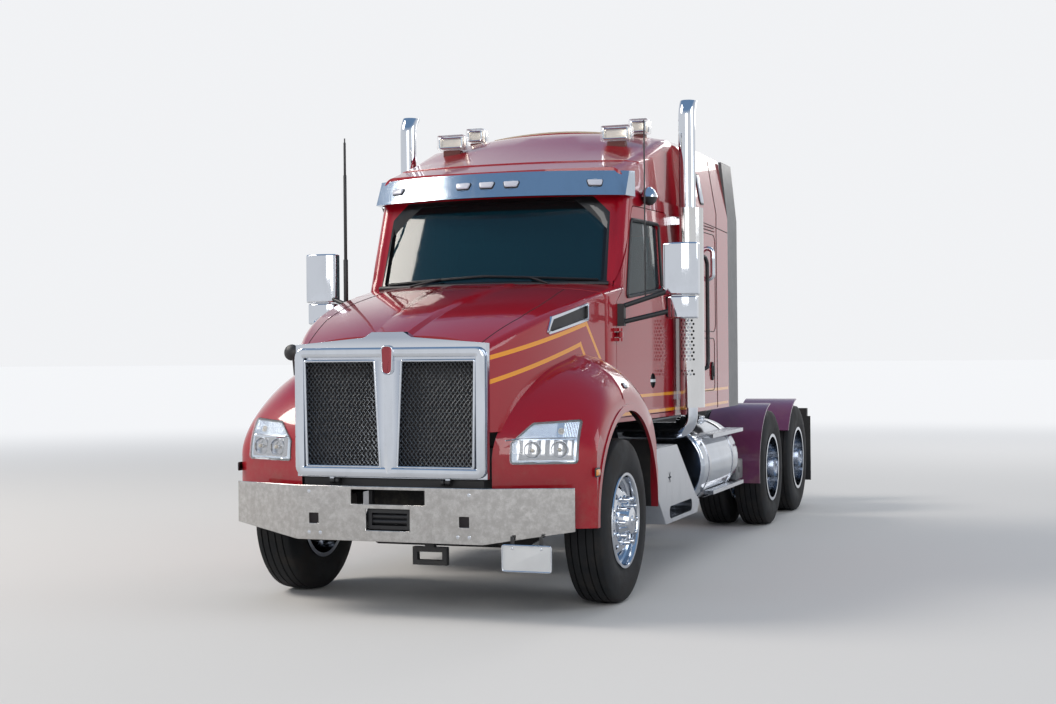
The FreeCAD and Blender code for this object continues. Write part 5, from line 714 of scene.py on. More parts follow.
def nutRing(x, y, out, face, length):
    # Capped wheel nuts round the bolt circle
    w = wheel
    profile = [(0.0, 0.024), (0.006, 0.024), (0.008, 0.0175), (0.012, 0.0165), (length * 0.8, 0.0150),
               (length * 0.95, 0.0125), (length, 0.008), (length, 0.0)]
    nuts = []
    for index in range(w["nuts"]):
        turn = math.tau * index / w["nuts"]
        spot = at(x + out * face, y, axleZ) + Vector((0, math.cos(turn), math.sin(turn))) * w["boltCircle"]
        if not nuts:
            line = [spot + Vector((out * along, 0, r)) for along, r in profile]
            nuts.append(spun(line, spot, steps=12))
            first = spot
        else:
            nuts.append(copied(nuts[0], spot - first))
    return joined(nuts)


def hubCap(x, y, out, start, end, radius):
    # Turned end cap with a stepped rim and a small centre plug
    profile = [(start, radius), (start + 0.006, radius), (end - 0.020, radius * 0.93),
               (end - 0.012, radius * 0.86), (end - 0.010, radius * 0.62), (end - 0.002, radius * 0.58),
               (end, radius * 0.52), (end, radius * 0.2), (end + 0.006, radius * 0.16), (end + 0.006, 0.0)]
    return spun([at(x + out * along, y, axleZ + r) for along, r in profile], at(x, y, axleZ), steps=48)


def makeFrontWheels():
    w = wheel
    for name, side in sides:
        x = w["frontX"] * side
        body = "wheel_front_" + name
        ring = tyreRing(x, 0.0)
        fit(ring, "tyreFront" + name.title(), body, rubbers[0.0], 50)
        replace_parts(ring, "tyre_front_" + name)
        rim = rimRing(x, 0.0, w["frontDisc"], w["frontFace"], w["frontCentre"], side)
        rim = joined([rim, nutRing(x, 0.0, side, w["frontFace"], w["frontNut"]),
                      hubCap(x, 0.0, side, *w["frontCap"])])
        fit(rim, "rimFront" + name.title(), body, wheelMetal, 32)
        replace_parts(rim, "rim_front_" + name)


def makeDriveWheels():
    # Twin tyres: the outer rim dishes inwards, the inner rim outwards
    w = wheel
    face = w["driveFace"]
    for axle, y in driveAxles:
        for name, side in sides:
            label = axle.title() + name.title()
            body = "wheel_" + axle + "_" + name
            outer = w["driveX"] * side
            inner = (w["driveX"] - w["twin"]) * side
            tyres = joined([tyreRing(outer, y), tyreRing(inner, y)])
            fit(tyres, "tyres" + label, body, rubbers[y], 50)
            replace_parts(tyres, "tyres_" + axle + "_" + name)
            pieces = [rimRing(outer, y, w["driveDisc"], face, w["outerCentre"], -side),
                      rimRing(inner, y, w["driveDisc"], face, w["innerCentre"], side),
                      nutRing(outer, y, side, w["wall"] - face, w["driveNut"]),
                      hubCap(outer, y, side, *w["driveCap"])]
            rims = joined(pieces)
            fit(rims, "rims" + label, body, wheelMetal, 32)
            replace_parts(rims, "rims_" + axle + "_" + name)


makeFrontWheels()
makeDriveWheels()
print("wheels made")


# Woven wire behind the grille frame
grille = {
    "outerTop": 0.566, "outerBottom": 0.554, "innerTop": 0.090, "innerBottom": 0.056,
    "top": 1.562, "bottom": 0.917, "y": -0.953, "pitch": 0.0275, "wire": 0.0030, "weave": 0.0022,
    "reach": 0.62, "slant": 52, "waves": 46, "spare": 6, "edge": 0.015,
    "screen": ((-0.600, -0.912, 0.885), (0.600, -0.908, 1.600)),
}
meshCorners = (
    (grille["innerBottom"], grille["bottom"]), (grille["outerBottom"], grille["bottom"]),
    (grille["outerTop"], grille["top"]), (grille["innerTop"], grille["top"]),
)


def meshPanel(side):
    g = grille
    middle = ((g["outerBottom"] + g["innerBottom"]) / 2, (g["top"] + g["bottom"]) / 2)
    reach = g["reach"]
    count = int(reach / g["pitch"]) + g["spare"]
    slope = math.radians(g["slant"])
    wires = []
    for slant in (1, -1):
        aim = Vector((math.cos(slope) * slant, 0, math.sin(slope)))
        step = Vector((1, 0, 0)) * g["pitch"]
        points = []
        start = Vector((side * middle[0], g["y"] + axleY, middle[1])) - aim * reach
        for index in range(g["waves"] + 1):
            lift = Vector((0, g["weave"] * slant * (1 if index % 2 else -1), 0))
            points.append(start + aim * (2 * reach * index / g["waves"]) + lift)
        wire = traced(points)
        pickUp(wire)
        bpy.ops.object.convert(target="CURVE")
        curve = bpy.context.object.data
        curve.bevel_depth = g["wire"]
        curve.bevel_resolution = 0
        bpy.ops.object.convert(target="MESH")
        wire = bpy.context.object
        for index in range(-count, count + 1):
            wires.append(copied(wire, step * index))
        bpy.data.objects.remove(wire)
    panel = joined(wires)
    # Trim to the opening
    pickUp(panel)
    bpy.ops.object.mode_set(mode="EDIT")
    corners = [Vector((side * x, 0, z)) for x, z in meshCorners]
    for index, corner in enumerate(corners):
        after = corners[(index + 1) % 4]
        normal = (after - corner).cross(Vector((0, -1, 0))) * side
        bpy.ops.mesh.select_all(action="SELECT")
        bpy.ops.mesh.bisect(plane_co=corner, plane_no=normal, clear_outer=True, use_fill=False)
    bpy.ops.object.mode_set(mode="OBJECT")
    return panel


skins["grille_surround"].data.materials[0] = makeFrameChrome()
wireSteel = makeChrome("wireSteel", (0.20, 0.21, 0.22), 0.34, 0.0004)
rounded(skins["grille_surround"], grille["edge"], 4, 40)
rounded(skins["bumper"], 0.003, 2, 40)
panels = joined([meshPanel(1), meshPanel(-1)])
fit(panels, "grilleWire", "hood_body", wireSteel, 60)
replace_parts(panels, "grille_mesh")
# A black sheet behind the wire: painted shade standing in for the dark behind the grille
backing = block(at(*grille["screen"][0]), at(*grille["screen"][1]), 0.001)
fit(backing, "grilleShadeSheet", "hood_body", gapAndShadeBlack)
print("grille made")


# Pieces that sit on the solids
ahead = Vector((0, -1, 0))
behind = Vector((0, 1, 0))
frontFrom = -1.4  # a line that looks for a place at the front starts here
sideFrom = 1.5  # and one that looks from the side starts here


def onto(thing, start, aim):
    # Where a straight line from start meets a piece, and which way that place faces
    bpy.context.view_layer.update()
    hit, place, normal = thing.ray_cast(Vector(start), Vector(aim).normalized())[:3]
    if not hit:
        print("nothing met by the line from", tuple(start), "to", thing.name)
    return place, normal


def placed(thing, place, normal, up=(0, 0, 1)):
    # Takes a piece drawn in the XY plane, facing +Z, to its place, facing along normal
    right = Vector(up).cross(normal).normalized()
    turn = Matrix((right, Vector(normal).cross(right), Vector(normal))).transposed().to_4x4()
    thing.data.transform(Matrix.Translation(place) @ turn)
    return thing


def chain(points, corner=0.0, cuts=0):
    # A line of points with rounded corners; it closes where the last point is the first
    thing = traced([Vector(p) for p in points])
    bpy.ops.object.mode_set(mode="EDIT")
    bpy.ops.mesh.select_all(action="SELECT")
    bpy.ops.mesh.remove_doubles(threshold=0.0005)
    if corner:
        bpy.ops.mesh.bevel(offset=corner, segments=4, affect="VERTICES")
    bpy.ops.mesh.select_all(action="SELECT")
    if cuts:
        bpy.ops.mesh.subdivide(number_cuts=cuts)
    bpy.ops.object.mode_set(mode="OBJECT")
    return thing


def tube(thing, radius, sides=1):
    pickUp(thing)
    bpy.ops.object.convert(target="CURVE")
    curve = bpy.context.object.data
    curve.bevel_depth = radius
    curve.bevel_resolution = sides
    curve.use_fill_caps = True
    bpy.ops.object.convert(target="MESH")
    return turnedOut(bpy.context.object)


def bead(points, target, axis, radius, corner=0.0, cuts=10):
    # A thin line laid on a piece, dropped onto it along one axis
    thing = chain(points, corner, cuts)
    useModifier(thing, "SHRINKWRAP", target=target, wrap_method="PROJECT", use_negative_direction=True,
                use_positive_direction=True, **{"use_project_" + axis: True})
    return tube(thing, radius)


def pipe(points, radius, corner):
    return tube(chain(points, corner), radius, 3)


def plaque(width, height, depth, corner, edge=0.002, narrow=1.0):
    # A flat plate with rounded corners, facing +Z; narrow is its lower width as a share of the upper
    w, h = width / 2, height / 2
    thing = slab([Vector(p) for p in ((-w * narrow, -h, 0), (w * narrow, -h, 0), (w, h, 0), (-w, h, 0))],
                 Vector((0, 0, depth)))
    pickUp(thing)
    bpy.ops.object.mode_set(mode="EDIT")
    bpy.ops.mesh.select_mode(type="EDGE")
    bpy.ops.mesh.select_all(action="DESELECT")
    bpy.ops.object.mode_set(mode="OBJECT")
    points = thing.data.vertices
    for side in thing.data.edges:
        a, b = (points[index].co for index in side.vertices)
        side.select = abs(a.z - b.z) > depth / 2
    bpy.ops.object.mode_set(mode="EDIT")
    bpy.ops.mesh.bevel(offset=corner, segments=4)
    bpy.ops.mesh.select_mode(type="VERT")
    bpy.ops.object.mode_set(mode="OBJECT")
    return rounded(thing, edge, 2, 50) if edge else thing


def boltHead(radius, height):
    washer = drum((0, 0, 0), (0, 0, height * 0.35), radius * 1.4, 20, height * 0.1)
    return joined([washer, drum((0, 0, 0), (0, 0, height), radius, 6, radius * 0.12)])


def ringOf(left, low, right, high):
    # The corners of a closed rectangle
    return (left, low), (right, low), (right, high), (left, high), (left, low)


def bothSides(thing):
    return joined([thing, mirroredTwin(thing)])


def fresh(node):
    # A new piece with the same mesh as a dressed solid
    thing = bpy.data.objects.new(node + "Copy", skins[node].data.copy())
    bpy.context.scene.collection.objects.link(thing)
    return thing


# Headlamps: housing, bowls, bulbs and the bar above them, behind the lens
lamp = {
    "set": 0.016, "bowls": ((0.862, 1.018), (1.012, 1.020)), "bowlRadius": 0.054, "bowlLift": 0.004,
    "bowl": ((1.0, 0.0), (1.0, 0.010), (0.93, 0.010), (0.80, -0.004), (0.5, -0.012), (0.30, -0.014),
             (0.30, 0.004), (0.0, 0.006)),  # share of the radius, and height
    "bulb": ((0.012, 0.0), (0.012, 0.010), (0.008, 0.018), (0.0, 0.021)), "bulbLift": 0.008,
    "turnPlace": (1.010, 1.128), "turnAhead": 1.2, "steps": 20,
    "turnBulb": ((0.020, 0.0), (0.019, 0.006), (0.013, 0.006), (0.012, 0.0), (0.007, 0.010), (0.0, 0.013)),
    "barZ": 1.086, "barRise": 0.004, "barFrom": 0.765, "barTo": 1.095, "barRadius": 0.0045, "barClear": 0.006,
    "openFrom": 0.775, "openTo": 1.090, "openLow": 0.958, "openHigh": 1.078,
    "stripFrom": 0.80, "stripTo": 0.985, "flutesFrom": 1.02, "cells": 420.0, "ribs": 700.0, "facets": 130.0,
    "reflector": (0.58, 0.66, 0.76), "reflectorLow": (0.36, 0.37, 0.39),
}


def makeReflector():
    s = Shader("lampReflector")
    g = lamp
    sideways = s.sums("ABSOLUTE", s.x)
    low = (sideways > g["openFrom"]) * (sideways < g["openTo"])
    low = low * (s.z > g["openLow"]) * (s.z < g["openHigh"])
    above = s.z > g["barZ"] + g["barClear"]
    strip = above * (sideways > g["stripFrom"]) * (sideways < g["stripTo"])
    flutes = above * (sideways > g["flutesFrom"])
    cells = s.sums("SINE", s.x * g["cells"]) * s.sums("SINE", s.z * g["cells"]) * strip
    ribs = s.sums("SINE", s.x * g["ribs"]) * flutes
    facets = s.sums("SINE", s.x * g["facets"]) * low * 0.5
    return s.finish(Base_Color=s.mix(low, g["reflector"], g["reflectorLow"]), Metallic=1.0,
                    Roughness=0.20 - low * 0.12 + s.noise(40.0) * 0.05,
                    Normal=s.bump(cells + ribs + facets, 0.003, 0.6))


def makeHeadlamps():
    g = lamp
    inside = fresh("headlights")
    useModifier(inside, "DISPLACE", strength=-g["set"], mid_level=0.0)
    fit(inside, "lampHousings", "hood_body", makeReflector(), 40)
    bowl = [(share * g["bowlRadius"], up) for share, up in g["bowl"]]
    bowls, bulbs = [], []
    for x, z in g["bowls"]:
        place, normal = onto(inside, at(x, frontFrom, z), behind)
        normal = (normal + ahead * g["turnAhead"]).normalized()
        bowls.append(placed(turned(bowl, g["steps"], g["bowlLift"]), place, normal))
        bulbs.append(placed(turned(g["bulb"], g["steps"], g["bulbLift"]), place, normal))
    place, normal = onto(inside, at(g["turnPlace"][0], frontFrom, g["turnPlace"][1]), behind)
    bulbs.append(placed(turned(g["turnBulb"], g["steps"]), place, normal))
    bar = bead([at(g["barFrom"], -1.0, g["barZ"]), at(g["barTo"], -1.0, g["barZ"] + g["barRise"])],
               inside, "y", g["barRadius"], cuts=16)
    fit(bothSides(joined(bowls + [bar])), "lampBowls", "hood_body", lampChrome, 25)
    fit(bothSides(joined(bulbs)), "lampBulbs", "hood_body", bulbGlass, 40)


# Small lamps and seams on the hood, and the round mirror on the right fender
hoodTrim = {
    "sideMarker": {"place": (-0.640, 0.880), "base": (0.092, 0.056),
                   "lens": (0.070, 0.038, 0.012, 0.008, 0.004)},
    "clearMarker": {"place": (0.07, 1.385), "base": (0.080, 0.042),
                    "lens": (0.064, 0.028, 0.011, 0.008, 0.003)},
    "baseDepth": 0.006, "baseCorner": 0.010,
    "seam": ((0.585, -0.90), (0.672, -0.49), (0.700, -0.208), (0.700, 0.03), (0.672, 0.38)),
    "seamTop": 2.3, "seamRadius": 0.0025,
    "mirrorFoot": (-1.10, -0.12, 2.2), "stalk": ((0, 0, -0.02), (0, -0.02, 0.10), (-0.02, 0.0, 0.16)),
    "stalkRadius": 0.008, "stalkCorner": 0.02,
    "mirrorHead": (-0.03, 0.0, 0.17), "mirrorAim": (0.1, 0.98, -0.1),
    "mirror": ((0.0, -0.030), (0.030, -0.024), (0.052, -0.008), (0.056, 0.006), (0.050, 0.010), (0.0, 0.008)),
}


def makeMarker(name, finish):
    # A lens on a black base, on both fenders
    g = hoodTrim[name]
    spot, normal = onto(skins["hood"], at(sideFrom, *g["place"]), (-1, 0, 0))
    base = placed(plaque(*g["base"], hoodTrim["baseDepth"], hoodTrim["baseCorner"]), spot, normal)
    lens = placed(plaque(*g["lens"]), spot, normal)
    fit(bothSides(base), name + "Bases", "hood_body", trimBlack)
    fit(bothSides(lens), name + "s", "hood_body", finish)


def makeHoodTrim():
    g = hoodTrim
    hood = skins["hood"]
    makeMarker("sideMarker", amberLens)
    seam = bead([at(x, y, g["seamTop"]) for x, y in g["seam"]], hood, "z", g["seamRadius"], cuts=8)
    fit(bothSides(seam), "hoodSeams", "hood_body", gapAndShadeBlack)
    makeMarker("clearMarker", frostLens)
    foot = onto(hood, at(*g["mirrorFoot"]), (0, 0, -1))[0]
    stalk = pipe([foot + Vector(step) for step in g["stalk"]], g["stalkRadius"], g["stalkCorner"])
    head = placed(turned(g["mirror"]), foot + Vector(g["mirrorHead"]), Vector(g["mirrorAim"]).normalized())
    fit(joined([stalk, head]), "fenderMirror", "hood_body", trimBlack)


# Cowl seal and wipers
cowl = {"half": 0.87, "pieces": 18, "front": 0.605, "bow": 0.158, "bowHalf": 0.88, "z": 2.078,
        "radius": 0.018}
wiper = {
    "blade": ((-0.80, 2.104), (-0.34, 2.126), (0.02, 2.142)), "front": 0.2, "radius": 0.0065, "set": -0.010,
    "spineRadius": 0.004, "spineSet": (0, -0.024, 0.006), "pivotX": (-0.57, 0.47),
    "pivot": (0.655, 2.072),
    "elbow": (0, -0.03, 0.012), "tip": (0, -0.034, 0.004), "armRadius": 0.008, "armCorner": 0.01,
    "hubRadius": 0.018, "hubLow": (0, 0.01, -0.02), "hubHigh": (0, -0.03, 0.01),
}


def makeScreenTrim():
    c = cowl
    line = []
    for index in range(c["pieces"] + 1):
        x = c["half"] * (2 * index / c["pieces"] - 1)
        line.append(at(x, c["front"] + c["bow"] * (x / c["bowHalf"]) ** 2, c["z"]))
    fit(pipe(line, c["radius"], 0.0), "cowlSeal", "chassis", trimBlack, 60)
    g = wiper
    screen = skins["windshield"]
    pieces = []
    for flip, pivotX in zip((1, -1), g["pivotX"]):
        line = [at(x * flip, g["front"], z) for x, z in g["blade"]]
        blade = bead(line, screen, "y", g["radius"], cuts=10)
        blade.data.transform(Matrix.Translation((0, g["set"], 0)))
        spine = bead(line, screen, "y", g["spineRadius"], cuts=6)
        spine.data.transform(Matrix.Translation(g["spineSet"]))
        place = onto(screen, line[1], behind)[0]
        pivot = at(pivotX, *g["pivot"])
        line = [pivot, pivot + Vector(g["elbow"]), place + Vector(g["tip"])]
        arm = pipe(line, g["armRadius"], g["armCorner"])
        hub = drum(pivot + Vector(g["hubLow"]), pivot + Vector(g["hubHigh"]), g["hubRadius"], 20, 0.003)
        pieces += [blade, spine, arm, hub]
    fit(joined(pieces), "wipers", "chassis", trimBlack)


# Door window seals, antenna sleeve and the spot lamps above the doors
doorTrim = {
    "windowLoop": ((0.836, 1.983), (1.569, 2.057), (1.569, 2.539), (1.010, 2.539), (0.836, 1.983)),
    "loopX": 1.3, "sealRadius": 0.013, "sealCorner": 0.03,
    "antennaFoot": (-1.140, 0.742), "sleeve": ((1.97, 2.30, 0.017), (2.30, 2.92, 0.012)),
    "whipRadius": 0.009, "whipShort": 0.03,
    "spot": (1.025, 1.28, 2.712), "spotStretch": 1.5,
    "spotCap": ((0.0, 0.078), (0.020, 0.074), (0.044, 0.052), (0.058, 0.022), (0.062, 0.0), (0.056, -0.002),
                (0.0, -0.002)),
    "spotBowl": ((0.0, -0.058), (0.026, -0.050), (0.048, -0.026), (0.056, -0.002), (0.0, -0.002)),
}


def makeDoorTrim():
    g = doorTrim
    for name, side in sides:
        loop = [at(side * g["loopX"], y, z) for y, z in g["windowLoop"]]
        seal = bead(loop, skins["door_" + name], "x", g["sealRadius"], g["sealCorner"], 10)
        fit(seal, "windowSeal" + name.title(), "door_" + name + "_body", trimBlack)
    foot = g["antennaFoot"]
    whip = (g["sleeve"][-1][1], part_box("mirror_right")[1].z - g["whipShort"], g["whipRadius"])
    sleeve = []
    for low, high, radius in g["sleeve"] + (whip,):
        sleeve.append(drum(at(*foot, low), at(*foot, high), radius, 16, 0.002))
    fit(joined(sleeve), "antennaSleeve", "door_right_body", trimBlack)
    stretch = Matrix.Diagonal((1.0, g["spotStretch"], 1.0, 1.0))
    for key, finish, slotName in (("spotCap", brightChrome, "mirror_chrome"),
                                  ("spotBowl", trimBlack, "frame_black")):
        piece = turned(g[key], 40)
        piece.data.transform(Matrix.Translation(at(*g["spot"])) @ stretch)
        fit(bothSides(piece), key + "s", "chassis", finish, 40)


# Seams, locker door, vents and handles on the sleeper's sides, and its back wall
sleeper = {
    "seamRadius": 0.0035, "out": 1.4,
    "seams": (((2.976, 1.14), (2.976, 2.60), (2.996, 3.20)), ((2.14, 2.632), (2.976, 2.612), (3.39, 2.598))),
    "panels": ((2.17, 1.285, 2.882, 1.705), (2.17, 1.760, 2.925, 2.545)), "panelCorners": (0.05, 0.07),
    "slot": (2.514, 2.884), "slotFrame": (0.128, 0.250, 0.006, 0.03),
    "slotLens": (0.104, 0.226, 0.010, 0.024),
    "latch": (2.787, 1.440), "latchPlate": (0.060, 0.150, 0.012, 0.028, 0.004),
    "lever": (0.030, 0.085, 0.020, 0.013, 0.004),
    "vent": (2.66, 2.588), "ventRows": 2, "ventColumns": 16, "ventPitch": 0.030,
    "ventStart": (-0.001, -0.225, 0.010), "ventDrop": 0.024, "ventRadius": 0.0062, "ventProud": 0.003,
    "bar": ((1.11, 2.28, 2.345), (1.185, 2.28, 2.345), (1.185, 2.38, 2.30), (1.185, 2.38, 1.50),
            (1.185, 2.34, 1.46), (1.11, 2.34, 1.46)), "barRadius": 0.0155, "barCorner": 0.04,
    "grip": ((1.11, 2.655, 2.425), (1.165, 2.655, 2.415), (1.165, 2.655, 2.185), (1.11, 2.655, 2.175)),
    "gripRadius": 0.019, "gripCorner": 0.03,
    "backX": (-0.62, -0.21, 0.21, 0.62), "backLow": 1.20, "backHigh": 3.18, "backFrom": 3.9,
    "backRadius": 0.004, "backAcross": 1.0, "backMiddle": 1.90,
    "coupler": (0.0, 1.36), "couplerPlate": (0.34, 0.16, 0.030, 0.02, 0.004), "couplerX": (-0.11, 0.0, 0.11),
    "socket": ((0.028, 0.0, 0.068, -0.012, 0.026, 0.004), (0.058, -0.012, 0.084, -0.020, 0.017, 0.003)),
}


def makeSleeperTrim():
    g = sleeper
    wall = skins["sleeper_shell"]
    out = g["out"]
    seams = []
    for line in g["seams"]:
        seams.append(bead([at(out, y, z) for y, z in line], wall, "x", g["seamRadius"], 0.0, 14))
    for panel, corner in zip(g["panels"], g["panelCorners"]):
        seams.append(bead([at(out, y, z) for y, z in ringOf(*panel)], wall, "x", g["seamRadius"], corner, 8))
    fit(bothSides(joined(seams)), "sleeperSeams", "chassis", gapAndShadeBlack)
    spot = onto(wall, at(out, *g["slot"]), (-1, 0, 0))
    slotFrame = placed(plaque(*g["slotFrame"]), *spot)
    slot = placed(plaque(*g["slotLens"]), *spot)
    spot = onto(wall, at(out, *g["latch"]), (-1, 0, 0))
    latch = placed(plaque(*g["latchPlate"]), *spot)
    lever = placed(plaque(*g["lever"]), *spot)
    strip = onto(wall, at(out, *g["vent"]), (-1, 0, 0))[0]
    dots = []
    for row in range(g["ventRows"]):
        for column in range(g["ventColumns"]):
            shift = Vector((0, (column + row / 2) * g["ventPitch"], -row * g["ventDrop"]))
            dot = strip + Vector(g["ventStart"]) + shift
            dots.append(drum(dot, dot + Vector((g["ventProud"], 0, 0)), g["ventRadius"], 8))
    bar = pipe([at(*point) for point in g["bar"]], g["barRadius"], g["barCorner"])
    fit(bothSides(joined([slotFrame, latch, lever, bar] + dots)), "sleeperBlackTrim", "chassis", trimBlack)
    fit(bothSides(slot), "sleeperSideLens", "chassis", frostLens)
    grip = pipe([at(*point) for point in g["grip"]], g["gripRadius"], g["gripCorner"])
    fit(bothSides(grip), "sleeperGrips", "chassis", brightChrome, 50)


def makeBackWall():
    g = sleeper
    wall = skins["sleeper_shell"]
    y = g["backFrom"]
    seams = []
    for x in g["backX"]:
        line = [at(x, y, g["backLow"]), at(x, y, g["backHigh"])]
        seams.append(bead(line, wall, "y", g["backRadius"], cuts=10))
    line = [at(-g["backAcross"], y, g["backMiddle"]), at(g["backAcross"], y, g["backMiddle"])]
    seams.append(bead(line, wall, "y", g["backRadius"], cuts=16))
    fit(joined(seams), "backWallSeams", "chassis", gapAndShadeBlack)
    panel, normal = onto(wall, at(g["coupler"][0], g["backFrom"], g["coupler"][1]), ahead)
    coupler = [placed(plaque(*g["couplerPlate"]), panel, normal)]
    for x in g["couplerX"]:
        for near, low, far, high, radius, edge in g["socket"]:
            start, end = panel + Vector((x, near, low)), panel + Vector((x, far, high))
            coupler.append(drum(start, end, radius, 20, edge))
    fit(joined(coupler), "lineCoupler", "chassis", trimBlack)


# Lamps on the visor
visorLamp = {
    "x": (0.0, 0.182, -0.182, 0.754, -0.754), "z": 2.786, "reach": 0.046, "front": 0.2,
    "plug": ((0, 0, -0.012), (0, 0, 0.0012), 0.0355, 40), "gasket": (0.124, 0.056, 0.005, 0.012, 0.001, 0.78),
    "lens": (0.112, 0.044, 0.018, 0.010, 0.006, 0.78),
}


def makeVisorLamps():
    g = visorLamp
    visor = skins["sun_visor"]
    plugs, gaskets, lenses = [], [], []
    for x in g["x"]:
        high, upper = onto(visor, at(x, g["front"], g["z"] + g["reach"]), behind)
        low, lower = onto(visor, at(x, g["front"], g["z"] - g["reach"]), behind)
        spot = (high + low) / 2, (upper + lower).normalized()
        plugs.append(placed(drum(*g["plug"]), *spot))
        gaskets.append(placed(plaque(*g["gasket"]), *spot))
        lenses.append(placed(plaque(*g["lens"]), *spot))
    plug = joined(plugs)
    fit(plug, "visorLampPlugs", "chassis", visorMetal)
    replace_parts(plug, "visor_lights")
    fit(joined(gaskets), "visorLampGaskets", "chassis", trimBlack)
    fit(joined(lenses), "visorLampLenses", "chassis", frostLens)


# Insides, frames and feet of the roof beacons, and the lines on the roof
beacon = {
    "tops": ((0.668, 1.683, 0.115), (0.688, 2.242, 0.078)), "above": 4.5, "between": 2.0, "footDrop": 0.119,
    "innerSide": 0.020, "innerDeep": 0.036, "innerLow": -0.106, "innerHigh": -0.020, "innerEdge": 0.006,
    "frameSide": 0.022, "frameOut": 0.0525, "frameLow": -0.100, "frameHigh": -0.024, "frameCorner": 0.012,
    "frameRadius": 0.0055, "capFacing": 0.6,
}
roofLines = {
    "crease": ((-0.93, -0.5, 2.975), (0.93, -0.5, 2.975)), "creaseRadius": 0.007,
    "rail": ((-0.50, 2.16, 4.0), (0.50, 2.16, 4.0)), "railRadius": 0.013,
}


def makeRoofTrim():
    g = beacon
    beacons = skins["beacons"]
    inner, frames, feet = [], [], []
    for x, y, half in g["tops"]:
        top = onto(beacons, at(x, y, g["above"]), (0, 0, -1))[0]
        feet.append(top.z - g["footDrop"])
        across = half - g["innerSide"]
        inner.append(block(top + Vector((-across, -g["innerDeep"], g["innerLow"])),
                           top + Vector((across, g["innerDeep"], g["innerHigh"])), g["innerEdge"]))
        across = half - g["frameSide"]
        for face in (-g["frameOut"], g["frameOut"]):
            loop = ringOf(-across, g["frameLow"], across, g["frameHigh"])
            loop = [top + Vector((x, face, z)) for x, z in loop]
            frames.append(tube(chain(loop, g["frameCorner"]), g["frameRadius"]))
    fit(bothSides(joined(inner)), "beaconReflectors", "chassis", warmReflector)
    fit(bothSides(joined(frames)), "beaconFrames", "chassis", visorMetal)
    paintFaces(beacons, capMetal, lambda centre, normal: normal.z > g["capFacing"])
    split = g["between"] + axleY
    paintFaces(beacons, footRed, lambda centre, normal: centre.z < feet[0 if centre.y < split else 1])
    g = roofLines
    crease = bead([at(*point) for point in g["crease"]], skins["roof_cap"], "y", g["creaseRadius"], cuts=40)
    fit(crease, "roofCrease", "chassis", bodyPaint, 60)
    rail = bead([at(*point) for point in g["rail"]], skins["sleeper_shell"], "z", g["railRadius"], cuts=12)
    fit(rail, "roofRail", "chassis", railBeige, 60)


# Bolts, black blocks painted as shade inside the tow holes, and the bare plate at the front
bumperTrim = {
    "bolts": ((-0.532, 0.763), (-0.533, 0.510), (-0.456, 0.510), (0.532, 0.760), (0.458, 0.508),
              (0.532, 0.508)),
    "bolt": (0.013, 0.004), "boltSet": 0.0037,
    "pocketX": (-0.5, 0.5), "pocketHalf": 0.045, "pocketZ": 0.598, "pocketFront": -0.9985,
    "pocketRear": -0.955,
}
plate = {
    "place": (0.885, -0.985, 0.392), "sheet": (0.305, 0.152, 0.002, 0.014, 0.0006), "proud": 0.002,
    "rimHalf": (0.153, 0.077), "rimCorner": 0.014, "rimRadius": 0.0045, "hangerX": (-0.09, 0.09),
    "hangerHalf": 0.012, "hangerFront": -0.984, "hangerRear": -0.978, "hangerLow": 0.40, "hangerHigh": 0.520,
    "screwZ": 0.450, "screw": (0.006, 0.004),
}


def makeBumperTrim():
    g = bumperTrim
    bolts = []
    for x, z in g["bolts"]:
        spot = onto(skins["bumper"], at(x, frontFrom, z), behind)[0]
        bolts.append(placed(boltHead(*g["bolt"]), spot + behind * g["boltSet"], ahead))
    fit(joined(bolts), "bumperBolts", "chassis", brightChrome)
    # Black blocks behind the tow holes: painted shade inside them
    half = g["pocketHalf"]
    pockets = [block(at(x - half, g["pocketFront"], g["pocketZ"] - half),
                     at(x + half, g["pocketRear"], g["pocketZ"] + half), 0.002) for x in g["pocketX"]]
    fit(joined(pockets), "towHoleShade", "chassis", gapAndShadeBlack)


def makePlate():
    g = plate
    middle = at(*g["place"])
    fit(placed(plaque(*g["sheet"]), middle, ahead), "barePlate", "chassis", plateWhite)
    w, h = g["rimHalf"]
    loop = [middle + Vector((x, -g["proud"], z)) for x, z in ringOf(-w, -h, w, h)]
    rim = tube(chain(loop, g["rimCorner"]), g["rimRadius"])
    hangers, screws = [], []
    for x in g["hangerX"]:
        x += g["place"][0]
        hangers.append(block(at(x - g["hangerHalf"], g["hangerFront"], g["hangerLow"]),
                             at(x + g["hangerHalf"], g["hangerRear"], g["hangerHigh"]), 0.001))
        screws.append(placed(boltHead(*g["screw"]), at(x, g["place"][1] - g["proud"], g["screwZ"]), ahead))
    fit(joined([rim] + screws), "plateFrame", "chassis", brightChrome)
    fit(joined(hangers), "plateHangers", "chassis", trimBlack)


# Three round tail lamps on a panel at each side
tailLamp = {
    "x": (0.46, 0.60, 0.74), "y": 6.855, "z": 0.832, "housing": 0.056, "deep": 0.012, "lensSet": 0.008,
    "lens": ((0.050, 0.0), (0.050, 0.010), (0.044, 0.017), (0.0, 0.021)),
    "panel": ((0.38, 6.838, 0.765), (0.82, 6.846, 0.900)),
}


def makeTailLamps():
    g = tailLamp
    housings, lenses = [], []
    for x in g["x"]:
        spot = at(x, g["y"], g["z"])
        housings.append(drum(spot + ahead * g["deep"], spot + behind * g["deep"], g["housing"], 32, 0.003))
        lenses.append(placed(turned(g["lens"]), spot + behind * g["lensSet"], behind))
    housings.append(block(at(*g["panel"][0]), at(*g["panel"][1]), 0.002))
    fit(bothSides(joined(housings)), "tailLampHousings", "chassis", trimBlack)
    fit(bothSides(joined(lenses)), "tailLampLenses", "chassis", tailLens)


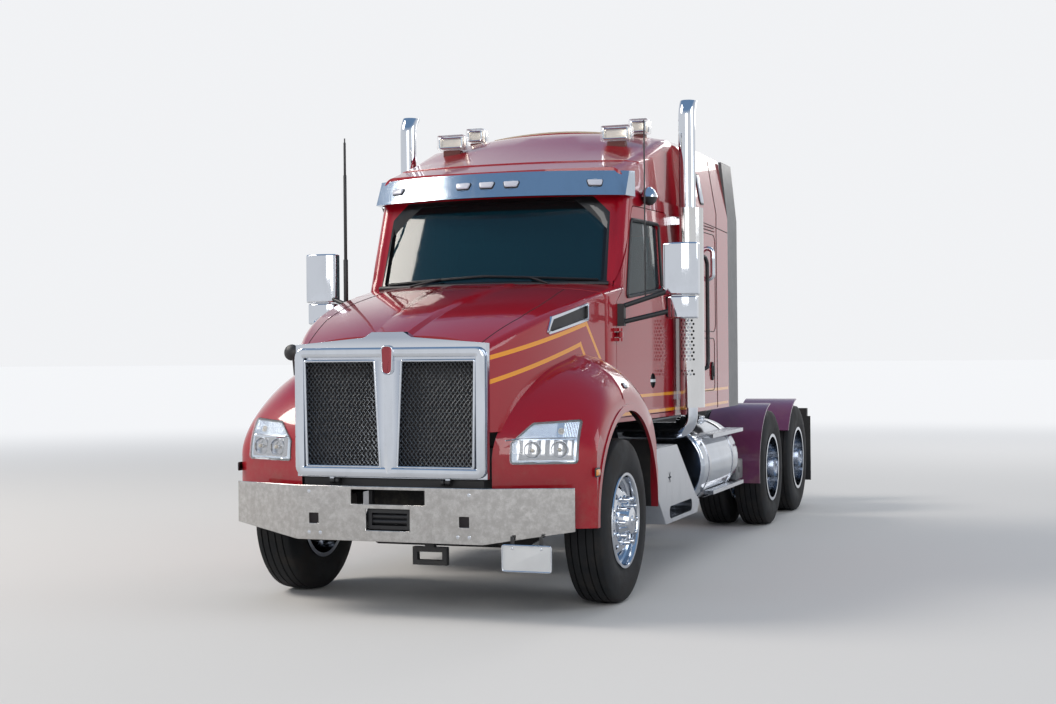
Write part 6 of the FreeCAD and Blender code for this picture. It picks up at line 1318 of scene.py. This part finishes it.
# Ribs on the step plates, tank caps and the case behind each tank
tankTrim = {
    "ribs": 5, "ribFrom": 1.020, "ribPitch": 0.028, "ribHalf": 0.006, "ribEdge": 0.0015,
    "treads": ((2.13, 3.39, 0.944, 0.949), (0.91, 1.45, 0.924, 0.929)),  # front, rear, low, high
    "capX": 0.905, "capY": (2.62, 3.20), "capTop": 1.5,
    "cap": (((0, 0, -0.01), (0, 0, 0.018), 0.052, 40, 0.003),
            ((0, 0, 0.016), (0, 0, 0.040), 0.046, 12, 0.005)),
    "case": ((1.02, 3.470, 0.500), (1.155, 3.760, 0.670), 0.012),
    "caseLatch": ((1.154, 3.600, 0.560), (1.160, 3.640, 0.610), 0.002),
}


def makeTankTrim():
    g = tankTrim
    ribs = []
    for index in range(g["ribs"]):
        x = g["ribFrom"] + index * g["ribPitch"]
        for near, far, low, high in g["treads"]:
            ribs.append(block(at(x - g["ribHalf"], near, low), at(x + g["ribHalf"], far, high), g["ribEdge"]))
    fit(bothSides(joined(ribs)), "stepRibs", "chassis", stepMetal)
    caps = []
    for y in g["capY"]:
        place, normal = onto(skins["fuel_tanks"], at(g["capX"], y, g["capTop"]), (0, 0, -1))
        caps.append(placed(joined([drum(*part) for part in g["cap"]]), place, normal, (0, 1, 0)))
    fit(bothSides(joined(caps)), "tankCaps", "chassis", brightChrome, 30)
    case, latch = (block(at(*low), at(*high), edge) for low, high, edge in (g["case"], g["caseLatch"]))
    fit(bothSides(joined([case, latch])), "rearCases", "chassis", extenderGrey)


# Beads round the grille openings, the ridged middle bar, the roll along the frame and the bare badge plate
grilleTrim = {
    "beadY": -0.986, "beadCorner": 0.008, "beadRadius": 0.0085,
    "rollHalf": 0.603, "rollLow": 0.8835, "rollHigh": 1.613, "rollCorner": 0.03, "rollRadius": 0.030,
    "rollFlat": 0.27, "rollY": -0.990,
    "ridgeHalf": 0.032, "ridgeFoot": -0.988, "ridgeTop": -1.005, "ridgeLow": 0.878, "ridgeHeight": 0.590,
    "badge": (0, -0.9995, 1.566), "badgePlate": (0.074, 0.168, 0.003, 0.030, 0.001, 0.8),
    "badgeRim": ((-0.031, -0.085), (0.031, -0.085), (0.038, 0.085), (-0.038, 0.085), (-0.031, -0.085)),
    "badgeRimY": -1.001, "badgeRimCorner": 0.028, "badgeRimRadius": 0.0045,
}


def makeGrilleTrim():
    g = grilleTrim
    loop = [at(x, g["beadY"], z) for x, z in meshCorners + meshCorners[:1]]
    beads = bothSides(tube(chain(loop, g["beadCorner"]), g["beadRadius"], 3))
    loop = ringOf(-g["rollHalf"], g["rollLow"], g["rollHalf"], g["rollHigh"])
    roll = tube(chain([Vector((x, 0, z)) for x, z in loop], g["rollCorner"]), g["rollRadius"], 6)
    flatter = Matrix.Diagonal((1.0, g["rollFlat"], 1.0, 1.0))
    roll.data.transform(Matrix.Translation(at(0, g["rollY"], 0)) @ flatter)
    across = g["ridgeHalf"]
    ridge = slab([at(-across, g["ridgeFoot"], g["ridgeLow"]), at(0.0, g["ridgeTop"], g["ridgeLow"]),
                  at(across, g["ridgeFoot"], g["ridgeLow"])], Vector((0, 0, g["ridgeHeight"])))
    fit(joined([beads, ridge, roll]), "grilleBeads", "hood_body", brightChrome, 40)
    badge = placed(plaque(*g["badgePlate"]), at(*g["badge"]), ahead)
    fit(badge, "badgePlate", "hood_body", badgeSatin)
    loop = [at(x, g["badgeRimY"], g["badge"][2] + z) for x, z in g["badgeRim"]]
    rim = tube(chain(loop, g["badgeRimCorner"]), g["badgeRimRadius"], 3)
    fit(rim, "badgeRim", "hood_body", brightChrome, 60)


# Second finishes on some of the solids
painted = {
    "backFacing": 0.2, "bumperBack": -0.9985, "bumperHalf": 0.6, "bracketTop": 0.8495,
    "mirrorFrom": 1.2455, "mirrorFacing": 0.95,
    "handle": (1.340, 1.392), "cup": 0.0555, "cupFrom": 0.95, "cupFlat": 0.999,
    "pull": 0.056, "pullFrom": 1.0, "pullHalf": 0.0101, "floorTop": 1.3, "floorFacing": -0.6,
    "vent": ((-0.384, 1.728), (0.134, 1.828), (0.134, 1.912), (-0.326, 1.812)),
    "archStart": -0.3, "archFacing": -0.3, "archOut": 0.1, "archStep": 0.004,
}


def archShadeFaces(hood):
    # The faces that have more of the hood outside or above them, and don't look out themselves; they get the
    # painted arch shade
    g = painted
    spots = []
    for face in hood.data.polygons:
        centre, normal = face.center, face.normal
        out = 1 if centre.x > 0 else -1
        facesAhead = normal.y < g["archFacing"] and centre.y < axleY + g["archStart"]
        if normal.x * out > g["archOut"] or facesAhead:
            continue
        start = centre + normal * g["archStep"]
        if hood.ray_cast(start, Vector((out, 0, 0)))[0] or hood.ray_cast(start, Vector((0, 0, 1)))[0]:
            spots.append(face.index)
    return spots


def inVent(centre):
    y, z = centre.y - axleY, centre.z
    corners = painted["vent"]
    turns = [(b[0] - a[0]) * (z - a[1]) - (b[1] - a[1]) * (y - a[0])
             for a, b in zip(corners, corners[1:] + corners[:1])]
    return all(turn > 0 for turn in turns)


def handleAway(centre):
    y, z = painted["handle"]
    return math.hypot(centre.y - y - axleY, centre.z - z)


def paintParts():
    g = painted
    hood = skins["hood"]
    hood.data.materials.append(makeArchShade())
    bpy.context.view_layer.update()
    for index in archShadeFaces(hood):
        hood.data.polygons[index].material_index = 1
    paintFaces(skins["bumper"], frameBlack, lambda centre, normal: normal.y > g["backFacing"]
               or (centre.y > g["bumperBack"] + axleY and abs(centre.x) < g["bumperHalf"]))
    paintFaces(skins["grille_surround"], trimBlack, lambda centre, normal: centre.z < g["bracketTop"])
    for name in ("left", "right"):
        mirror = skins["mirror_" + name]
        paintFaces(mirror, brightChrome, lambda centre, normal: abs(centre.x) > g["mirrorFrom"])
        paintFaces(mirror, mirrorGlass, lambda centre, normal: abs(centre.x) > g["mirrorFrom"]
                   and normal.y > g["mirrorFacing"])
        door = skins["door_" + name]
        paintFaces(door, trimBlack, lambda centre, normal: handleAway(centre) < g["cup"]
                   and abs(normal.x) < g["cupFlat"] and abs(centre.x) > g["cupFrom"])
        paintFaces(door, brightChrome, lambda centre, normal: handleAway(centre) < g["pull"]
                   and abs(centre.x) > g["pullFrom"] and abs(centre.z - g["handle"][1]) < g["pullHalf"])
    # The low undersides of the cab and sleeper are painted black as shade
    for node in ("cab_shell", "sleeper_shell"):
        paintFaces(skins[node], frameBlack, lambda centre, normal: normal.z < g["floorFacing"]
                   and centre.z < g["floorTop"])
    paintFaces(skins["hood_vents"], trimBlack, lambda centre, normal: inVent(centre))


makeHeadlamps()
makeHoodTrim()
makeScreenTrim()
makeDoorTrim()
makeSleeperTrim()
makeBackWall()
makeVisorLamps()
makeRoofTrim()
makeBumperTrim()
makePlate()
makeTailLamps()
makeTankTrim()
makeGrilleTrim()
paintParts()
print("trim made")


# Floor, light and camera
stage = {
    "floor": (0.66, 0.655, 0.65), "pale": (0.88, 0.89, 0.91), "floorNear": 6.0, "floorFar": 24.0,
    "high": (0.20, 0.33, 0.52), "fill": (0.78, 0.87, 1.0), "fillStrength": 0.42,
    "paleTo": 0.26, "highFrom": 0.62, "floorSize": 400, "aim": (0, 1.5, 1.6),
    "lamps": {
        "keyLamp": ((-14, -6, 13), 7, 2500, (1.0, 0.93, 0.84)),
        "frontLamp": ((4, -19, 7), 8, 900, (1.0, 0.98, 0.95)),
        "sideLamp": ((14, -1, 7), 7, 500, (0.92, 0.96, 1.0)),
        "backLamp": ((3, 15, 9), 7, 700, (1.0, 0.97, 0.93)),
    },
}


def makeStage():
    clearSelection()
    bpy.ops.mesh.primitive_plane_add(size=stage["floorSize"], location=(0, 0, 0))
    floor = bpy.context.object
    floor.name = "floor"
    floor.data.materials.append(makeFloor())


def makeFloor():
    # Pale floor that goes over into the backdrop far from the truck
    s = Shader("paleFloor")
    away = s.sums("SQRT", s.x * s.x + s.y * s.y)
    far = s.smooth(away, stage["floorNear"], stage["floorFar"])
    return s.finish(Base_Color=s.mix(far, stage["floor"], (0.0, 0.0, 0.0)), IOR=1.2,
                    Roughness=0.85 + s.noise(3.0) * 0.05, Emission_Strength=1.0,
                    Emission_Color=s.mix(far, (0.0, 0.0, 0.0), stage["pale"]))


class Sky(Shader):
    def __init__(self, name):
        world = bpy.data.worlds.new(name)
        bpy.context.scene.world = world
        world.use_nodes = True
        self.tree = world.node_tree
        self.tree.nodes.clear()


def makeWorld():
    # Pale near the horizon and soft blue-grey overhead where it is seen, even fill where it only lights
    s = Sky("studio")
    ways = s.node("ShaderNodeLightPath", {}, {}).socket.node.outputs
    seen = s.sums("MAXIMUM", Signal(s, ways["Is Camera Ray"]), Signal(s, ways["Is Glossy Ray"]))
    seen = s.sums("MAXIMUM", seen, Signal(s, ways["Is Transmission Ray"]))
    place = s.node("ShaderNodeTexCoord", {}, {}, "Generated")
    height = s.node("ShaderNodeSeparateXYZ", {}, {"Vector": place}, "Z")
    stops = ((stage["paleTo"], stage["pale"]), (stage["highFrom"], stage["high"]))
    rise = s.node("ShaderNodeValToRGB", {"stops": stops}, {"Fac": height})
    rise.socket.node.color_ramp.interpolation = "EASE"
    pale = s.node("ShaderNodeBackground", {}, {"Color": rise})
    fill = s.node("ShaderNodeBackground", {}, {"Color": stage["fill"], "Strength": stage["fillStrength"]})
    blend = s.node("ShaderNodeMixShader", {}, {0: seen, 1: fill, 2: pale})
    out = s.tree.nodes.new("ShaderNodeOutputWorld")
    s.plug(out.inputs["Surface"], blend)


def makeLamps():
    for name, (place, size, watts, colour) in stage["lamps"].items():
        data = bpy.data.lights.new(name, "AREA")
        data.size = size
        data.energy = watts
        data.color = colour
        light = bpy.data.objects.new(name, data)
        bpy.context.scene.collection.objects.link(light)
        light.location = place
        light.rotation_euler = (at(*stage["aim"]) - Vector(place)).to_track_quat("-Z", "Y").to_euler()


photoView = {
    "place": (4.0383, -9.6292, 1.6065), "yaw": 19.922, "pitch": 0.006, "roll": -0.534,
    "focalPixels": 1565.76, "width": 1056, "sensor": 36.0,
}


def makeCamera():
    v = photoView
    data = bpy.data.cameras.new("camera")
    data.sensor_fit = "HORIZONTAL"
    data.sensor_width = v["sensor"]
    data.lens = v["focalPixels"] / v["width"] * v["sensor"]
    camera = bpy.data.objects.new("camera", data)
    bpy.context.scene.collection.objects.link(camera)
    turn = (Matrix.Rotation(math.radians(v["yaw"]), 3, "Z")
            @ Matrix.Rotation(math.radians(90 + v["pitch"]), 3, "X")
            @ Matrix.Rotation(math.radians(v["roll"]), 3, "Z"))
    camera.location = at(*v["place"])
    camera.rotation_euler = turn.to_euler()
    data.clip_end = 500
    bpy.context.scene.camera = camera


makeStage()
makeWorld()
makeLamps()
makeCamera()
bpy.context.scene.view_settings.view_transform = "Standard"
clearSelection()
print("scene done")
